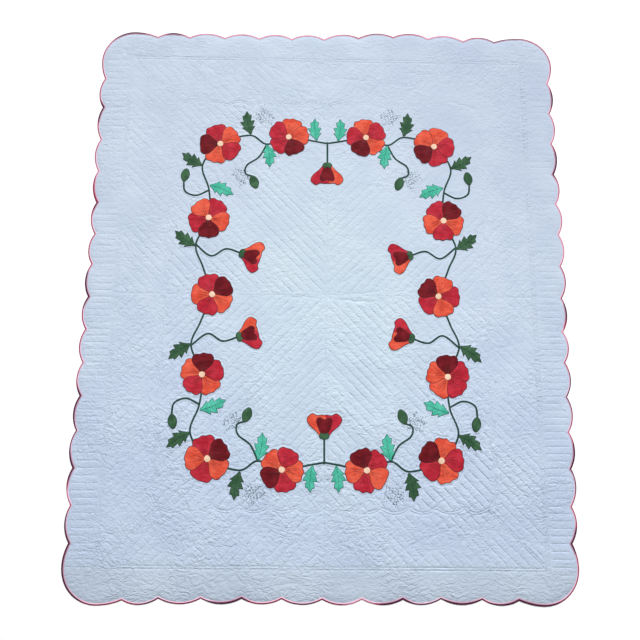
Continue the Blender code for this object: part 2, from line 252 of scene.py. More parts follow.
def x_and_y(place):
    """The first two parts of a place."""
    node = new_node("ShaderNodeSeparateXYZ", place)
    feed(node.inputs[0], place)
    return node.outputs[0], node.outputs[1]


def cloudy(place, scale, detail, result="Fac"):
    """A result of a noise texture, about 0 to 1."""
    node = new_node("ShaderNodeTexNoise", place)
    node.inputs["Scale"].default_value = scale
    node.inputs["Detail"].default_value = detail
    feed(node.inputs["Vector"], place)
    return node.outputs[result]


def spread(value, low, high, to_low=0.0, to_high=1.0):
    """A value spread from one range to another, smoothly at both ends."""
    node = new_node("ShaderNodeMapRange", value)
    node.interpolation_type = "SMOOTHSTEP"
    for socket, number in zip(node.inputs[:5], (value, low, high, to_low, to_high)):
        feed(socket, number)
    return node.outputs[0]


# Where the two sockets and the result of each kind of Mix node are.
MIX_SOCKETS = {"FLOAT": (2, 3, 0), "VECTOR": (4, 5, 1), "RGBA": (6, 7, 2)}


def blended(share, first, second, mode="MIX", kind="RGBA"):
    """Two colours, values or vectors mixed by a share."""
    node = new_node("ShaderNodeMix", share, first, second)
    node.data_type = kind
    node.blend_type = mode
    low, high, result = MIX_SOCKETS[kind]
    for socket, value in ((0, share), (low, first), (high, second)):
        feed(node.inputs[socket], value)
    return node.outputs[result]


# Each cloudy texture has its clouds to the metre and its detail. The long wrinkles stand in
# ridges where their texture passes its middle value, and everything is bent by a slow swirl.
WRINKLE_SWIRL, WRINKLE_BEND = (16.0, 1.5), (0.045, 0.045, 0.0)
LONG_WRINKLES, LONG_SQUEEZE = (42.0, 1.0), (0.40, 1.0, 1.0)
SHORT_WRINKLES, SHORT_SQUEEZE = (85.0, 2.0), (0.60, 1.0, 1.0)
RIDGE_STEEPNESS, RIDGE_SHARE = 5.0, 0.50
# Faded patches and specks: their clouds, and the values between which they fade, with what
# the specks take away and add.
FADED_PATCHES, PATCHES_FADE = (1.0, 3.0), (0.30, 0.72)
FADED_SPECKS, SPECKS_FADE = (900.0, 2.0), (0.35, 0.70, -0.15, 0.15)


def make_plain_weave():
    """Plain weave: a thread passes over, then under, the one that crosses it."""
    tree, takes, gives = recipe("plain weave", {"Place": "Vector", "Threads": "Float"},
                                {"Height": "Float"})
    x, y = x_and_y(takes["Place"])
    turn = reckon("MULTIPLY", takes["Threads"], math.pi)
    warp = reckon("SINE", reckon("MULTIPLY", x, turn))
    weft = reckon("SINE", reckon("MULTIPLY", y, turn))
    over = reckon("GREATER_THAN", reckon("MULTIPLY", warp, weft), 0.0)
    shown = blended(over, reckon("ABSOLUTE", warp), reckon("ABSOLUTE", weft), kind="FLOAT")
    feed(gives["Height"], shown)
    return tree


def make_washed_crinkle():
    """Soft wrinkles that washing draws up in sewn cloth: short, wavy, and mostly crosswise."""
    tree, takes, gives = recipe("washed crinkle", {"Place": "Vector"}, {"Height": "Float"})
    place = takes["Place"]
    swirl = on_places("MULTIPLY", cloudy(place, *WRINKLE_SWIRL, "Color"), WRINKLE_BEND)
    bent = on_places("ADD", place, swirl)
    long_folds = cloudy(on_places("MULTIPLY", bent, LONG_SQUEEZE), *LONG_WRINKLES)
    short_folds = cloudy(on_places("MULTIPLY", bent, SHORT_SQUEEZE), *SHORT_WRINKLES)
    from_middle = reckon("MULTIPLY_ADD", long_folds, RIDGE_STEEPNESS, -0.5 * RIDGE_STEEPNESS)
    ridge = reckon("SUBTRACT", 1.0, reckon("ABSOLUTE", from_middle))
    feed(gives["Height"], reckon("MULTIPLY_ADD", ridge, RIDGE_SHARE, short_folds))
    return tree


def make_dye_drift():
    """Cotton that took its dye, and has faded, a little unevenly."""
    tree, takes, gives = recipe(
        "dye drift", {"Place": "Vector", "Dye": "Color", "Worn": "Color", "Patches": "Float"},
        {"Colour": "Color"})
    spaced = new_node("ShaderNodeVectorMath", takes["Place"])
    spaced.operation = "SCALE"
    feed(spaced.inputs[0], takes["Place"])
    feed(spaced.inputs["Scale"], takes["Patches"])
    wide = cloudy(spaced.outputs[0], *FADED_PATCHES)
    fine = cloudy(takes["Place"], *FADED_SPECKS)
    both = reckon("ADD", spread(wide, *PATCHES_FADE), spread(fine, *SPECKS_FADE))
    pale_share = reckon("MINIMUM", reckon("MAXIMUM", both, 0.0), 1.0)
    feed(gives["Colour"], blended(pale_share, takes["Dye"], takes["Worn"]))
    return tree


PLAIN_WEAVE = make_plain_weave()
WASHED_CRINKLE = make_washed_crinkle()
DYE_DRIFT = make_dye_drift()


def placed_recipe(group, **values):
    """What a recipe gives in a material, with its own values."""
    node = new_node("ShaderNodeGroup", *values.values())
    node.node_tree = group
    for label, value in values.items():
        feed(node.inputs[label], value)
    return node.outputs[0]


def bumped(height, distance, strength=1.0, under=None):
    """The normal of a Bump node, on top of another where there is one."""
    node = new_node("ShaderNodeBump", height)
    node.inputs["Distance"].default_value = distance
    node.inputs["Strength"].default_value = strength
    feed(node.inputs["Height"], height)
    if under is not None:
        feed(node.inputs["Normal"], under)
    return node.outputs[0]


def dyed_material(name, dye, worn, patches):
    """A new material, its shader's inputs, the place on the piece, and its drifting colour."""
    material = bpy.data.materials.new(name)
    material.use_nodes = True
    tree = material.node_tree
    place = tree.nodes.new("ShaderNodeTexCoord").outputs["Object"]
    colour = placed_recipe(DYE_DRIFT, Place=place, Dye=(*dye, 1.0), Worn=(*worn, 1.0),
                           Patches=patches)
    return material, tree.nodes["Principled BSDF"].inputs, place, colour


# Cotton cloth: patches of dye and threads, both to the metre, and how proud the threads stand.
DYE_PATCHES = 30.0
CLOTH_THREADS = 1700.0
THREADS_PROUD = 0.00006
WEAVE_STRENGTH = 0.5
# Roughness is given between the threads, then on top of them.
CLOTH_ROUGHNESS, CLOTH_SHEEN, CLOTH_SPECULAR = (0.96, 0.84), 0.04, 0.15


def cotton(name, dye, worn, crinkle, marked=None):
    """Dyed cotton cloth: drifting colour, which may be marked further, plain weave and washed
    wrinkles up to a height, with a faint soft sheen."""
    material, shader, place, colour = dyed_material(name, dye, worn, DYE_PATCHES)
    threads = placed_recipe(PLAIN_WEAVE, Place=place, Threads=CLOTH_THREADS)
    folds = placed_recipe(WASHED_CRINKLE, Place=place)
    feed(shader["Base Color"], marked(place, colour) if marked else colour)
    feed(shader["Roughness"], spread(threads, 0.0, 1.0, *CLOTH_ROUGHNESS))
    feed(shader["Normal"],
         bumped(threads, THREADS_PROUD, WEAVE_STRENGTH, under=bumped(folds, crinkle)))
    shader["Sheen Weight"].default_value = CLOTH_SHEEN
    shader["Specular IOR Level"].default_value = CLOTH_SPECULAR
    return material


STEM_COTTON = cotton("stem_cotton", (0.012, 0.042, 0.034), (0.026, 0.070, 0.056), crinkle=0.0005)

# Outlines of everything sewn on, for the line of quilting that goes round them.
sewn_outlines = []


def add_strip(stock, curve):
    """A bias strip along a curve: a low round ridge, closed and tucked down at both ends."""
    lift = np.interp(np.arange(len(curve)), (0, 1, len(curve) - 2, len(curve) - 1), (0, 1, 1, 0))
    sides = left_of(curve)
    pucker = 1.0 + uneven(curve, STEM_PUCKERS)
    rows = []
    for across, up in STEM_SECTION:
        places = curve - sides * (across * STEM_WIDTH * pucker)[:, None]
        heights = lie_of_cloth(curve) + up * STEM_RISE * (lift if up > 0 else 1.0)
        rows.append(np.column_stack([places, heights]))
    stock.add_grid(rows)
    reach = 0.5 * STEM_WIDTH
    sewn_outlines.append(np.vstack([curve + sides * reach, (curve - sides * reach)[::-1]]))


# Each kind of strip, its node, the quarters that have it, and its routes.
STRIPS = (("vine_strips", "stems", QUARTERS, (VINE, SIDE_CUP_STEM, INNER_BUD_STEM, OUTER_BUD_STEM)),
          ("middle_strip", "middle_stem", ((1, 1), (1, -1)), (MIDDLE_CUP_STEM,)))
for name, node, quarters, routes in STRIPS:
    for number, quarter in enumerate(quarters, start=1):
        strips = Stock()
        for route in routes:
            add_strip(strips, smooth_route(route, STEM_STEP) * quarter)
        finish_piece(f"{name}_{number}", strips, [STEM_COTTON], [f"{node}_{number}"])


# ========================================
# Leaves: mint and forest green cotton, notched along both edges, turned under and sewn
# down over the stems. Their veins and edges are worked in darker thread.
# ========================================

# A sewn piece rests on the cloth and swells inward from its turned edge, whose foot goes down
# into the cloth, a little outward.
PIECE_RESTS = 0.0006
PIECE_PLUMP = 0.0006
PIECE_SOFTNESS = (Waver(0.016, 0.011, 0.00016, 41),)
EDGE_FOLD = 0.0020
TUCK_DEPTH, TUCK_OUT = 0.0007, 0.0003
# Its corners: two rows inside the edge, then an even triangular grid that keeps clear of them.
EDGE_ROWS, EDGE_ROW_CLEAR = (0.0010, 0.0027), 0.8
CLOTH_STEP = 0.0055
CLOTH_ROW_SHARE = 0.87
GRID_CLEAR = 0.0052
SAME_CORNER = 1e-7
# Stands in for nothing where something is divided by a length or a rise.
TINY = 1e-12

# A thread stands proud of its line, and is sunk at both sides, by these shares of its width.
THREAD_WIDTH = 0.0011
THREAD_PROUD, THREAD_SUNK, STITCH_SUNK = 0.42, 0.15, 0.10
THREAD_END_SHARE = 0.35
EDGE_STITCH = 0.0030
EDGE_BITE = 0.0031
FEWEST_EDGE_STITCHES = 6
PRONG_WIDTH, PRONG_PROUD = 1.2 * THREAD_WIDTH, 0.3
Ridge = namedtuple("Ridge", "depth proud")
EDGE_CORD = (Ridge(-0.0006, -0.0007), Ridge(-0.0001, 0.0003), Ridge(0.0008, 0.0005),
             Ridge(0.0018, -0.0001))

Piece = namedtuple("Piece", "x y turn length width")
MINT_LEAVES = (Piece(0.046, 0.684, 85, 0.104, 0.048), Piece(0.262, 0.664, 262, 0.108, 0.050),
               Piece(0.500, 0.474, 202, 0.112, 0.052))
FOREST_LEAVES = (Piece(0.332, 0.708, 80, 0.112, 0.052), Piece(0.534, 0.562, 32, 0.108, 0.050),
                 Piece(0.548, 0.206, 36, 0.110, 0.052))
# A leaf without its notches, from foot to tip: how far along, as a share of its length, and
# how wide there, as a share of its full width.
LEAF_WIDTHS = ((0.0, 0.0), (0.06, 0.30), (0.14, 0.56), (0.24, 0.84), (0.36, 1.0), (0.48, 0.96),
               (0.60, 0.82), (0.72, 0.62), (0.84, 0.40), (0.94, 0.16), (1.0, 0.0))
LEAF_FOOT = 0.05
LEAF_TIP = ((0.84, 0.36), (0.90, 0.25), (0.96, 0.10))
LEAF_NOTCHES = 3
NOTCHED_FROM, NOTCHED_TO = 0.10, 0.82
# One notch: its share of the way to the next, and how it widens the leaf. The width is read a
# little nearer the foot, so that the notches point to the tip.
NOTCH = ((0.00, 0.66), (0.25, 0.88), (0.55, 1.04), (0.80, 1.20), (0.95, 1.34))
NOTCH_LEAN = 0.3
LEAF_BEND = 0.05
VEIN_WIDTH = 0.0022
MIDDLE_VEIN_FROM, MIDDLE_VEIN_TO, MIDDLE_VEIN_POINTS = 0.03, 0.93, 13
# Where the side veins start along the leaf, and the length of leaf that each of them climbs.
# They reach out to this share of the width that the leaf has a little short of their ends.
SIDE_VEINS = (0.18, 0.35, 0.52)
SIDE_VEIN_CLIMB, SIDE_VEIN_CURVE, SIDE_VEIN_POINTS = 0.17, 0.8, 5
SIDE_VEIN_REACH, SIDE_VEIN_SHORT_OF_END = 0.72, 0.15
THREAD_DYE_PATCHES = 60.0
TWIST_BANDS, TWIST_UNEVEN, TWIST_PROUD, TWIST_STRENGTH = 700.0, 1.5, 0.0002, 0.6
# How much rougher a thread is between its strands, and how much smoother on top of them.
THREAD_ROUGHER, THREAD_SMOOTHER = 0.10, 0.05
THREAD_SHEEN, THREAD_SPECULAR = 0.05, 0.25


def laid(points, row, quarter):
    """Local points, with +Y along the piece, turned, placed and mirrored into a quarter."""
    turn = math.radians(row.turn - 90.0)
    cosine, sine = math.cos(turn), math.sin(turn)
    points = np.asarray(points, float)
    across, along = points[:, 0], points[:, 1]
    placed = np.stack([row.x + across * cosine - along * sine,
                       row.y + across * sine + along * cosine], 1)
    return placed * quarter


def copies(rows):
    """Each row of a table with each quarter it is mirrored into, numbered from 1."""
    number = 0
    for index, row in enumerate(rows):
        for turn, quarter in enumerate(QUARTERS):
            if (row.x == 0.0 and quarter[0] < 0) or (row.y == 0.0 and quarter[1] < 0):
                continue
            number += 1
            yield number, index, turn, row, quarter


def distance_to_outline(places, outline):
    """Distance from each place to the nearest point of a closed outline."""
    run = np.roll(outline, -1, axis=0) - outline
    length = np.maximum((run ** 2).sum(1), TINY)
    gap = places[:, None, :] - outline[None]
    share = np.clip((gap * run[None]).sum(2) / length, 0.0, 1.0)
    return np.sqrt(((gap - share[..., None] * run[None]) ** 2).sum(2).min(1))


def inside(places, outline):
    """Whether each place is inside a closed outline."""
    x, y = places[:, :1], places[:, 1:]
    x0, y0 = outline[:, 0], outline[:, 1]
    x1, y1 = np.roll(x0, -1), np.roll(y0, -1)
    spans = (y0 > y) != (y1 > y)
    rise = np.where(np.abs(y1 - y0) < TINY, TINY, y1 - y0)
    return (spans & (x < x0 + (y - y0) * (x1 - x0) / rise)).sum(1) % 2 == 1


def anticlockwise(outline):
    """A closed outline, turned round where need be so that its inside is to the left."""
    x, y = outline[:, 0], outline[:, 1]
    area = (x * np.roll(y, -1) - np.roll(x, -1) * y).sum()
    return outline if area > 0 else outline[::-1]


def triangles_inside(points, outline_count):
    """Triangles between points, of which the first so many are a closed outline."""
    points = [Vector(point) for point in points.tolist()]
    places, _, faces, _, _, owners = delaunay_2d_cdt(
        points, [], [list(range(outline_count))], 0, SAME_CORNER, True)
    places = np.array([tuple(place) for place in places])
    faces = np.array([face for face, owner in zip(faces, owners) if owner], int)
    used, faces = np.unique(faces, return_inverse=True)
    return places[used], faces.reshape(-1, 3)


class SewnShape:
    """A cloth shape sewn down all round: rounded at its turned edge, plump in the middle."""

    def __init__(self, outline, layer=0.0, plump=PIECE_PLUMP):
        self.outline = anticlockwise(outline)
        self.inward = left_of(self.outline, closed=True)
        self.rests, self.plump = PIECE_RESTS + layer, plump
        sewn_outlines.append(self.outline)

    def height(self, places):
        away = distance_to_outline(places, self.outline)
        swell = (self.plump + uneven(places, PIECE_SOFTNESS)) * (1.0 - np.exp(-away / EDGE_FOLD))
        return lie_of_cloth(places) + self.rests + swell

    def add_to(self, stock, cloth=0):
        outline = self.outline
        points = [outline]
        for depth in EDGE_ROWS:
            row = outline + self.inward * depth
            clear = distance_to_outline(row, outline) > EDGE_ROW_CLEAR * depth
            points.append(row[inside(row, outline) & clear])
        low, high = outline.min(0), outline.max(0)
        x, y = np.meshgrid(np.arange(low[0], high[0], CLOTH_STEP),
                           np.arange(low[1], high[1], CLOTH_STEP * CLOTH_ROW_SHARE))
        x[1::2] += 0.5 * CLOTH_STEP
        grid = np.stack([x.ravel(), y.ravel()], 1)
        grid = grid[inside(grid, outline)]
        points.append(grid[distance_to_outline(grid, outline) > GRID_CLEAR])
        places, faces = triangles_inside(np.vstack(points), len(outline))
        stock.add(np.column_stack([places, self.height(places)]), faces, cloth)
        foot = outline - self.inward * TUCK_OUT
        edge = np.column_stack([outline, self.height(outline)])
        under = np.column_stack([foot, lie_of_cloth(foot) - TUCK_DEPTH])
        stock.add_grid([edge, under], cloth, closed=True)


def add_thread(stock, places, heights, width=THREAD_WIDTH):
    """A thread laid along places at heights: a low rounded ridge that thins at both ends."""
    thin = np.ones(len(places))
    thin[0] = thin[-1] = THREAD_END_SHARE
    to_side = left_of(places) * (0.5 * width * thin)[:, None]
    low, high = heights - THREAD_SUNK * width, heights + THREAD_PROUD * width * thin
    stock.add_grid([np.column_stack(row) for row in
                    ((places + to_side, low), (places, high), (places - to_side, low))])


def add_stitches(stock, starts, ends, start_heights, end_heights, width=THREAD_WIDTH, cloth=0,
                 proud=THREAD_PROUD):
    """Many short stitches, each thickest in the middle and going into the cloth at its ends."""
    run = ends - starts
    length = np.maximum(np.linalg.norm(run, axis=1, keepdims=True), SHORTEST)
    side = np.stack([-run[:, 1], run[:, 0]], 1) / length * (0.5 * width)
    middle, level = 0.5 * (starts + ends), 0.5 * (start_heights + end_heights)
    sunk = STITCH_SUNK * width
    corners = np.stack([np.column_stack(corner) for corner in (
        (starts, start_heights - sunk), (ends, end_heights - sunk), (middle + side, level - sunk),
        (middle - side, level - sunk), (middle, level + proud * width))], 1)
    first = 5 * np.arange(len(starts))[:, None, None]
    faces = first + np.array([[0, 3, 4], [3, 1, 4], [1, 2, 4], [2, 0, 4]])[None]
    stock.add(corners.reshape(-1, 3), faces.reshape(-1, 3), cloth)


def add_edge_stitching(stock, shape, covers=(), cloth=0):
    """Buttonhole stitch round a shape, except where another shape covers it: the thread lies
    in a low cord along the edge, and a prong runs in from it at each stitch."""
    outline, into = shape.outline, shape.inward
    lengths = np.linalg.norm(np.roll(outline, -1, axis=0) - outline, axis=1)
    total, gone = lengths.sum(), np.concatenate([[0.0], np.cumsum(lengths)])
    count = max(FEWEST_EDGE_STITCHES, round(total / EDGE_STITCH))
    at = np.arange(count) * total / count

    def along(values):
        ring = np.vstack([values, values[:1]])
        return np.stack([np.interp(at, gone, ring[:, 0]), np.interp(at, gone, ring[:, 1])], 1)

    on_edge, toward = along(outline), along(into)
    rows = []
    for depth, proud in EDGE_CORD:
        places = on_edge + toward * depth
        resting = np.maximum(shape.height(places), lie_of_cloth(places) + shape.rests)
        rows.append(np.column_stack([places, resting + proud]))
    tips = on_edge + toward * EDGE_BITE
    shown = np.ones(count, bool)
    for cover in covers:
        shown &= ~inside(tips, cover.outline) & ~inside(rows[1][:, :2], cover.outline)
    pairs = np.flatnonzero(shown & np.roll(shown, -1))
    if not len(pairs):
        return
    following = (pairs + 1) % count
    faces = []
    for low in count * np.arange(len(rows) - 1):
        high = low + count
        faces += [np.stack([pairs + low, following + low, following + high], 1),
                  np.stack([pairs + low, following + high, pairs + high], 1)]
    stock.add(np.vstack(rows), np.vstack(faces), cloth)
    back = rows[1][shown]
    add_stitches(stock, back[:, :2], tips[shown], back[:, 2] - EDGE_CORD[1].proud,
                 shape.height(tips[shown]), PRONG_WIDTH, cloth, PRONG_PROUD)


def leaf_width(along):
    """Width of a leaf without its notches, as a share of its full width."""
    return np.interp(along, *zip(*LEAF_WIDTHS))


def on_leaf(row, across, along):
    """A point of a slightly bent leaf, from shares of its half width and length."""
    return (0.5 * row.width * across + LEAF_BEND * row.length * math.sin(math.pi * along),
            row.length * along)


def leaf_outline(row):
    """Up one notched side, over the tip and down the other."""
    side = [(LEAF_FOOT, leaf_width(LEAF_FOOT))]
    gap = (NOTCHED_TO - NOTCHED_FROM) / LEAF_NOTCHES
    for notch in range(LEAF_NOTCHES):
        for share, widened in NOTCH:
            along = NOTCHED_FROM + gap * (notch + share)
            side.append((along, widened * leaf_width(along - NOTCH_LEAN * gap * share)))
    side += LEAF_TIP
    return [on_leaf(row, 0.0, 0.0), *(on_leaf(row, across, along) for along, across in side),
            on_leaf(row, 0.0, 1.0),
            *(on_leaf(row, -across, along) for along, across in reversed(side))]


def leaf_veins(row):
    """The middle vein and the side veins that run from it to the points of the edge."""
    veins = [[on_leaf(row, 0.0, along) for along in
              np.linspace(MIDDLE_VEIN_FROM, MIDDLE_VEIN_TO, MIDDLE_VEIN_POINTS)]]
    for foot in SIDE_VEINS:
        for hand in (-1, 1):
            reach = hand * SIDE_VEIN_REACH * leaf_width(foot + SIDE_VEIN_SHORT_OF_END)
            veins.append([on_leaf(row, reach * share,
                                  foot + SIDE_VEIN_CLIMB * share ** SIDE_VEIN_CURVE)
                          for share in np.linspace(0.0, 1.0, SIDE_VEIN_POINTS)])
    return veins


def make_twisted_thread():
    """Twisted cotton thread: fine slanting bands."""
    tree, takes, gives = recipe("twisted thread", {"Place": "Vector"}, {"Height": "Float"})
    wave = tree.nodes.new("ShaderNodeTexWave")
    wave.bands_direction = "DIAGONAL"
    wave.inputs["Scale"].default_value = TWIST_BANDS
    wave.inputs["Distortion"].default_value = TWIST_UNEVEN
    feed(wave.inputs["Vector"], takes["Place"])
    feed(gives["Height"], wave.outputs["Fac"])
    return tree


TWISTED_THREAD = make_twisted_thread()


def thread(name, dye, worn, roughness=0.55):
    """Stranded cotton thread with a soft shine."""
    material, shader, place, colour = dyed_material(name, dye, worn, THREAD_DYE_PATCHES)
    twist = placed_recipe(TWISTED_THREAD, Place=place)
    feed(shader["Base Color"], colour)
    feed(shader["Normal"], bumped(twist, TWIST_PROUD, TWIST_STRENGTH))
    feed(shader["Roughness"],
         spread(twist, 0.0, 1.0, roughness + THREAD_ROUGHER, roughness - THREAD_SMOOTHER))
    shader["Sheen Weight"].default_value = THREAD_SHEEN
    shader["Specular IOR Level"].default_value = THREAD_SPECULAR
    return material


MINT_COTTON = cotton("mint_cotton", (0.042, 0.370, 0.250), (0.090, 0.480, 0.355), crinkle=0.0011)
FOREST_COTTON = cotton("forest_cotton", (0.024, 0.074, 0.034), (0.050, 0.125, 0.060), crinkle=0.0011)
MINT_THREAD = thread("mint_thread", (0.006, 0.085, 0.065), (0.014, 0.130, 0.100))
FOREST_THREAD = thread("forest_thread", (0.004, 0.016, 0.013), (0.010, 0.030, 0.022))


def sew_on(name, number, shape, lines, cloth, worked_in):
    """A shape of one cloth, in the place of its node, then its worked lines and its edge."""
    piece, sewing = Stock(), Stock()
    shape.add_to(piece)
    finish_piece(f"{name}_cloth_{number:02d}", piece, [cloth], [f"{name}_{number:02d}"])
    for places, width in lines:
        add_thread(sewing, places, shape.height(places), width)
    add_edge_stitching(sewing, shape)
    finish_piece(f"{name}_stitching_{number:02d}", sewing, [worked_in], [])


def make_leaves(name, rows, cloth, vein_thread):
    for number, _, _, row, quarter in copies(rows):
        shape = SewnShape(laid(leaf_outline(row), row, quarter))
        middle, *others = [laid(vein, row, quarter) for vein in leaf_veins(row)]
        veins = [(middle, VEIN_WIDTH), *((vein, THREAD_WIDTH) for vein in others)]
        sew_on(name, number, shape, veins, cloth, vein_thread)


make_leaves("mint_leaf", MINT_LEAVES, MINT_COTTON, MINT_THREAD)
make_leaves("forest_leaf", FOREST_LEAVES, FOREST_COTTON, FOREST_THREAD)


# ========================================
# Buds: closed, oval, forest green, at the hooked ends of their stems. Dark thread marks
# the edge and the line down the middle where the bud will split.
# ========================================

BUDS = (Piece(0.322, 0.520, 250, 0.064, 0.038), Piece(0.612, 0.488, 100, 0.062, 0.036))
# One side of the cut, from foot to tip, as shares of the length and of the half width.
BUD_SIDE = ((0.03, 0.26), (0.16, 0.66), (0.36, 0.98), (0.60, 1.00), (0.82, 0.68), (0.96, 0.26))
BUD_STEP = 0.004
BUD_PLUMP = 0.0013
# The worked lines: how far each bows out, as a share of the width, and its stretch of the bud.
BudLine = namedtuple("BudLine", "bow start end")
BUD_LINES = (BudLine(0.00, 0.06, 0.90), BudLine(0.22, 0.10, 0.44), BudLine(-0.22, 0.10, 0.40))
BUD_LINE_POINTS = 9
BUD_LINE_TURN = math.radians(144.0)


def bud_outline(row):
    right = [(0.5 * row.width * across, row.length * along) for along, across in BUD_SIDE]
    return smooth_route(right + [(-x, y) for x, y in reversed(right)], BUD_STEP, closed=True)


def bud_line(row, line):
    return [(line.bow * row.width * math.sin(BUD_LINE_TURN * share), row.length * share)
            for share in np.linspace(line.start, line.end, BUD_LINE_POINTS)]


for number, _, _, row, quarter in copies(BUDS):
    shape = SewnShape(laid(bud_outline(row), row, quarter), plump=BUD_PLUMP)
    lines = [(laid(bud_line(row, line), row, quarter), THREAD_WIDTH) for line in BUD_LINES]
    sew_on("bud", number, shape, lines, FOREST_COTTON, FOREST_THREAD)


# ========================================
# Open blossoms: five petals of orange, crimson and maroon cotton, sewn on one over another
# round a cream middle. Plum thread goes round each petal, with worked stamens at the middle.
# ========================================

Blossom = namedtuple("Blossom", "x y turn radius")
BLOSSOMS = (Blossom(0.168, 0.700, 12, 0.089), Blossom(0.462, 0.662, -20, 0.092),
            Blossom(0.497, 0.330, 34, 0.090), Blossom(0.468, 0.000, -90, 0.090))
PETALS = 5
# The cut of a petal, by its share of the petal's turn and of the blossom's radius. The foot of
# the topmost one reaches over the middle of the blossom.
PETAL_CUT = ((-0.10, 0.50), (-0.07, 0.72), (0.05, 0.90), (0.20, 0.985), (0.36, 0.955),
             (0.50, 0.985), (0.64, 0.95), (0.80, 0.99), (0.95, 0.90), (1.07, 0.72),
             (1.10, 0.50), (1.06, 0.26), (1.02, 0.12))
PETAL_FOOT, TOP_PETAL_FOOT = (0.50, 0.06), (0.50, -0.04)
PETAL_CLOSE = ((-0.02, 0.12), (-0.06, 0.26))
PETAL_WOBBLE = 0.014
PETAL_STEP = 0.005
# How many layers up each petal lies.
PETAL_ORDER = (0, 1, 0, 1, 2)
LAYER_RISE = 0.00035
# O for orange, C for crimson, M for maroon, in the order of the petals.
PETAL_COLOURS = ("OCOCM", "CCOOM", "OMCOC", "COCOM")
PETAL_CLOTHS = {"O": 0, "C": 1, "M": 2}
# Lines that spread over each petal: their places across it, where they start and may end along
# the radius, and how far they are gathered in at the foot.
PETAL_LINES = (0.26, 0.52, 0.76)
FOLD_LINE_LEAN = 0.04
FOLD_LINE_START, FOLD_LINE_ENDS, FOLD_LINE_POINTS = 0.24, (0.58, 0.76), 9
FOLD_LINE_GATHERED = 0.35
FOLD_LINE_WIDTH = 0.0015
MIDDLE_SHARE, MIDDLE_POINTS = 0.14, 18
MIDDLE_LAYER, MIDDLE_PLUMP = PIECE_PLUMP + 1.3 * LAYER_RISE, 0.0004
FOLD_LINE_SEED, STAMEN_SEED = 3000, 7000
STAMENS = 15
STAMEN_SCATTER = 0.25
STAMEN_START, STAMEN_ENDS = 0.13, (0.24, 0.34)
STAMEN_WIDTH, STAMEN_RISE = 0.0013, 0.0002
# A knot is three short stitches over one another.
KNOT_TURNS = (0.0, 60.0, 120.0)
KNOT_REACH, KNOT_WIDTH, KNOT_PROUD = 0.0015, 0.0024, 0.5

ORANGE_COTTON = cotton("orange_cotton", (0.560, 0.058, 0.030), (0.700, 0.110, 0.062), crinkle=0.0018)
CRIMSON_COTTON = cotton("crimson_cotton", (0.350, 0.010, 0.024), (0.470, 0.026, 0.046), crinkle=0.0018)
MAROON_COTTON = cotton("maroon_cotton", (0.095, 0.002, 0.006), (0.165, 0.008, 0.014), crinkle=0.0018)
PETAL_COTTONS = [ORANGE_COTTON, CRIMSON_COTTON, MAROON_COTTON]
CREAM_COTTON = cotton("cream_cotton", (0.680, 0.470, 0.330), (0.780, 0.600, 0.450), crinkle=0.0006)
PLUM_THREAD = thread("plum_thread", (0.020, 0.002, 0.008), (0.055, 0.006, 0.016))
BROWN_THREAD = thread("brown_thread", (0.050, 0.024, 0.010), (0.100, 0.055, 0.020))


def directions(angle):
    """Unit vectors at these angles."""
    return np.stack([np.cos(angle), np.sin(angle)], 1)


def petal_outline(row, petal, foot, seed):
    """A smooth petal outline, cut a little differently each time."""
    wobble = np.random.default_rng(seed).normal(0.0, PETAL_WOBBLE, len(PETAL_CUT))
    wobble[-2:] = 0.0
    knots = []
    for (turn, share), change in zip((*PETAL_CUT, foot, *PETAL_CLOSE), (*wobble, 0.0, 0.0, 0.0)):
        angle = math.tau * (petal + turn) / PETALS
        reach = row.radius * min(share + change, 1.0)
        knots.append((reach * math.cos(angle), reach * math.sin(angle)))
    return smooth_route(knots, PETAL_STEP, closed=True)


def add_fold_lines(sewing, row, quarter, petal, shape, covers, seed):
    """Lines in stem stitch that spread from a petal's foot."""
    rng = np.random.default_rng(seed)
    for turn in PETAL_LINES:
        lean = turn + rng.uniform(-FOLD_LINE_LEAN, FOLD_LINE_LEAN)
        share = np.linspace(FOLD_LINE_START, rng.uniform(*FOLD_LINE_ENDS), FOLD_LINE_POINTS)
        opened = FOLD_LINE_GATHERED + (1.0 - FOLD_LINE_GATHERED) * share
        angle = math.tau * (petal + 0.5 + (lean - 0.5) * opened) / PETALS
        line = laid(directions(angle) * (share * row.radius)[:, None], row, quarter)
        shown = inside(line, shape.outline)
        for cover in covers:
            shown &= ~inside(line, cover.outline)
        if shown.sum() > 2:
            worked = line[shown]
            add_thread(sewing, worked, shape.height(worked), FOLD_LINE_WIDTH)


def add_stamens(sewing, row, quarter, seed):
    """Short straight stitches round the middle, each with a knot at its end."""
    rng = np.random.default_rng(seed)
    scatter = rng.uniform(-STAMEN_SCATTER, STAMEN_SCATTER, STAMENS)
    way = directions(math.tau * (np.arange(STAMENS) + scatter) / STAMENS)
    far = row.radius * rng.uniform(*STAMEN_ENDS, STAMENS)
    level = PIECE_RESTS + PIECE_PLUMP + 2.0 * LAYER_RISE + STAMEN_RISE
    starts = laid(way * (STAMEN_START * row.radius), row, quarter)
    ends = laid(way * far[:, None], row, quarter)
    start_heights, end_heights = lie_of_cloth(starts) + level, lie_of_cloth(ends) + level
    add_stitches(sewing, starts, ends, start_heights, end_heights, STAMEN_WIDTH, 1)
    for turn in KNOT_TURNS:
        reach = KNOT_REACH * directions(np.array([math.radians(turn)]))
        add_stitches(sewing, ends - reach, ends + reach, end_heights, end_heights, KNOT_WIDTH, 1,
                     KNOT_PROUD)


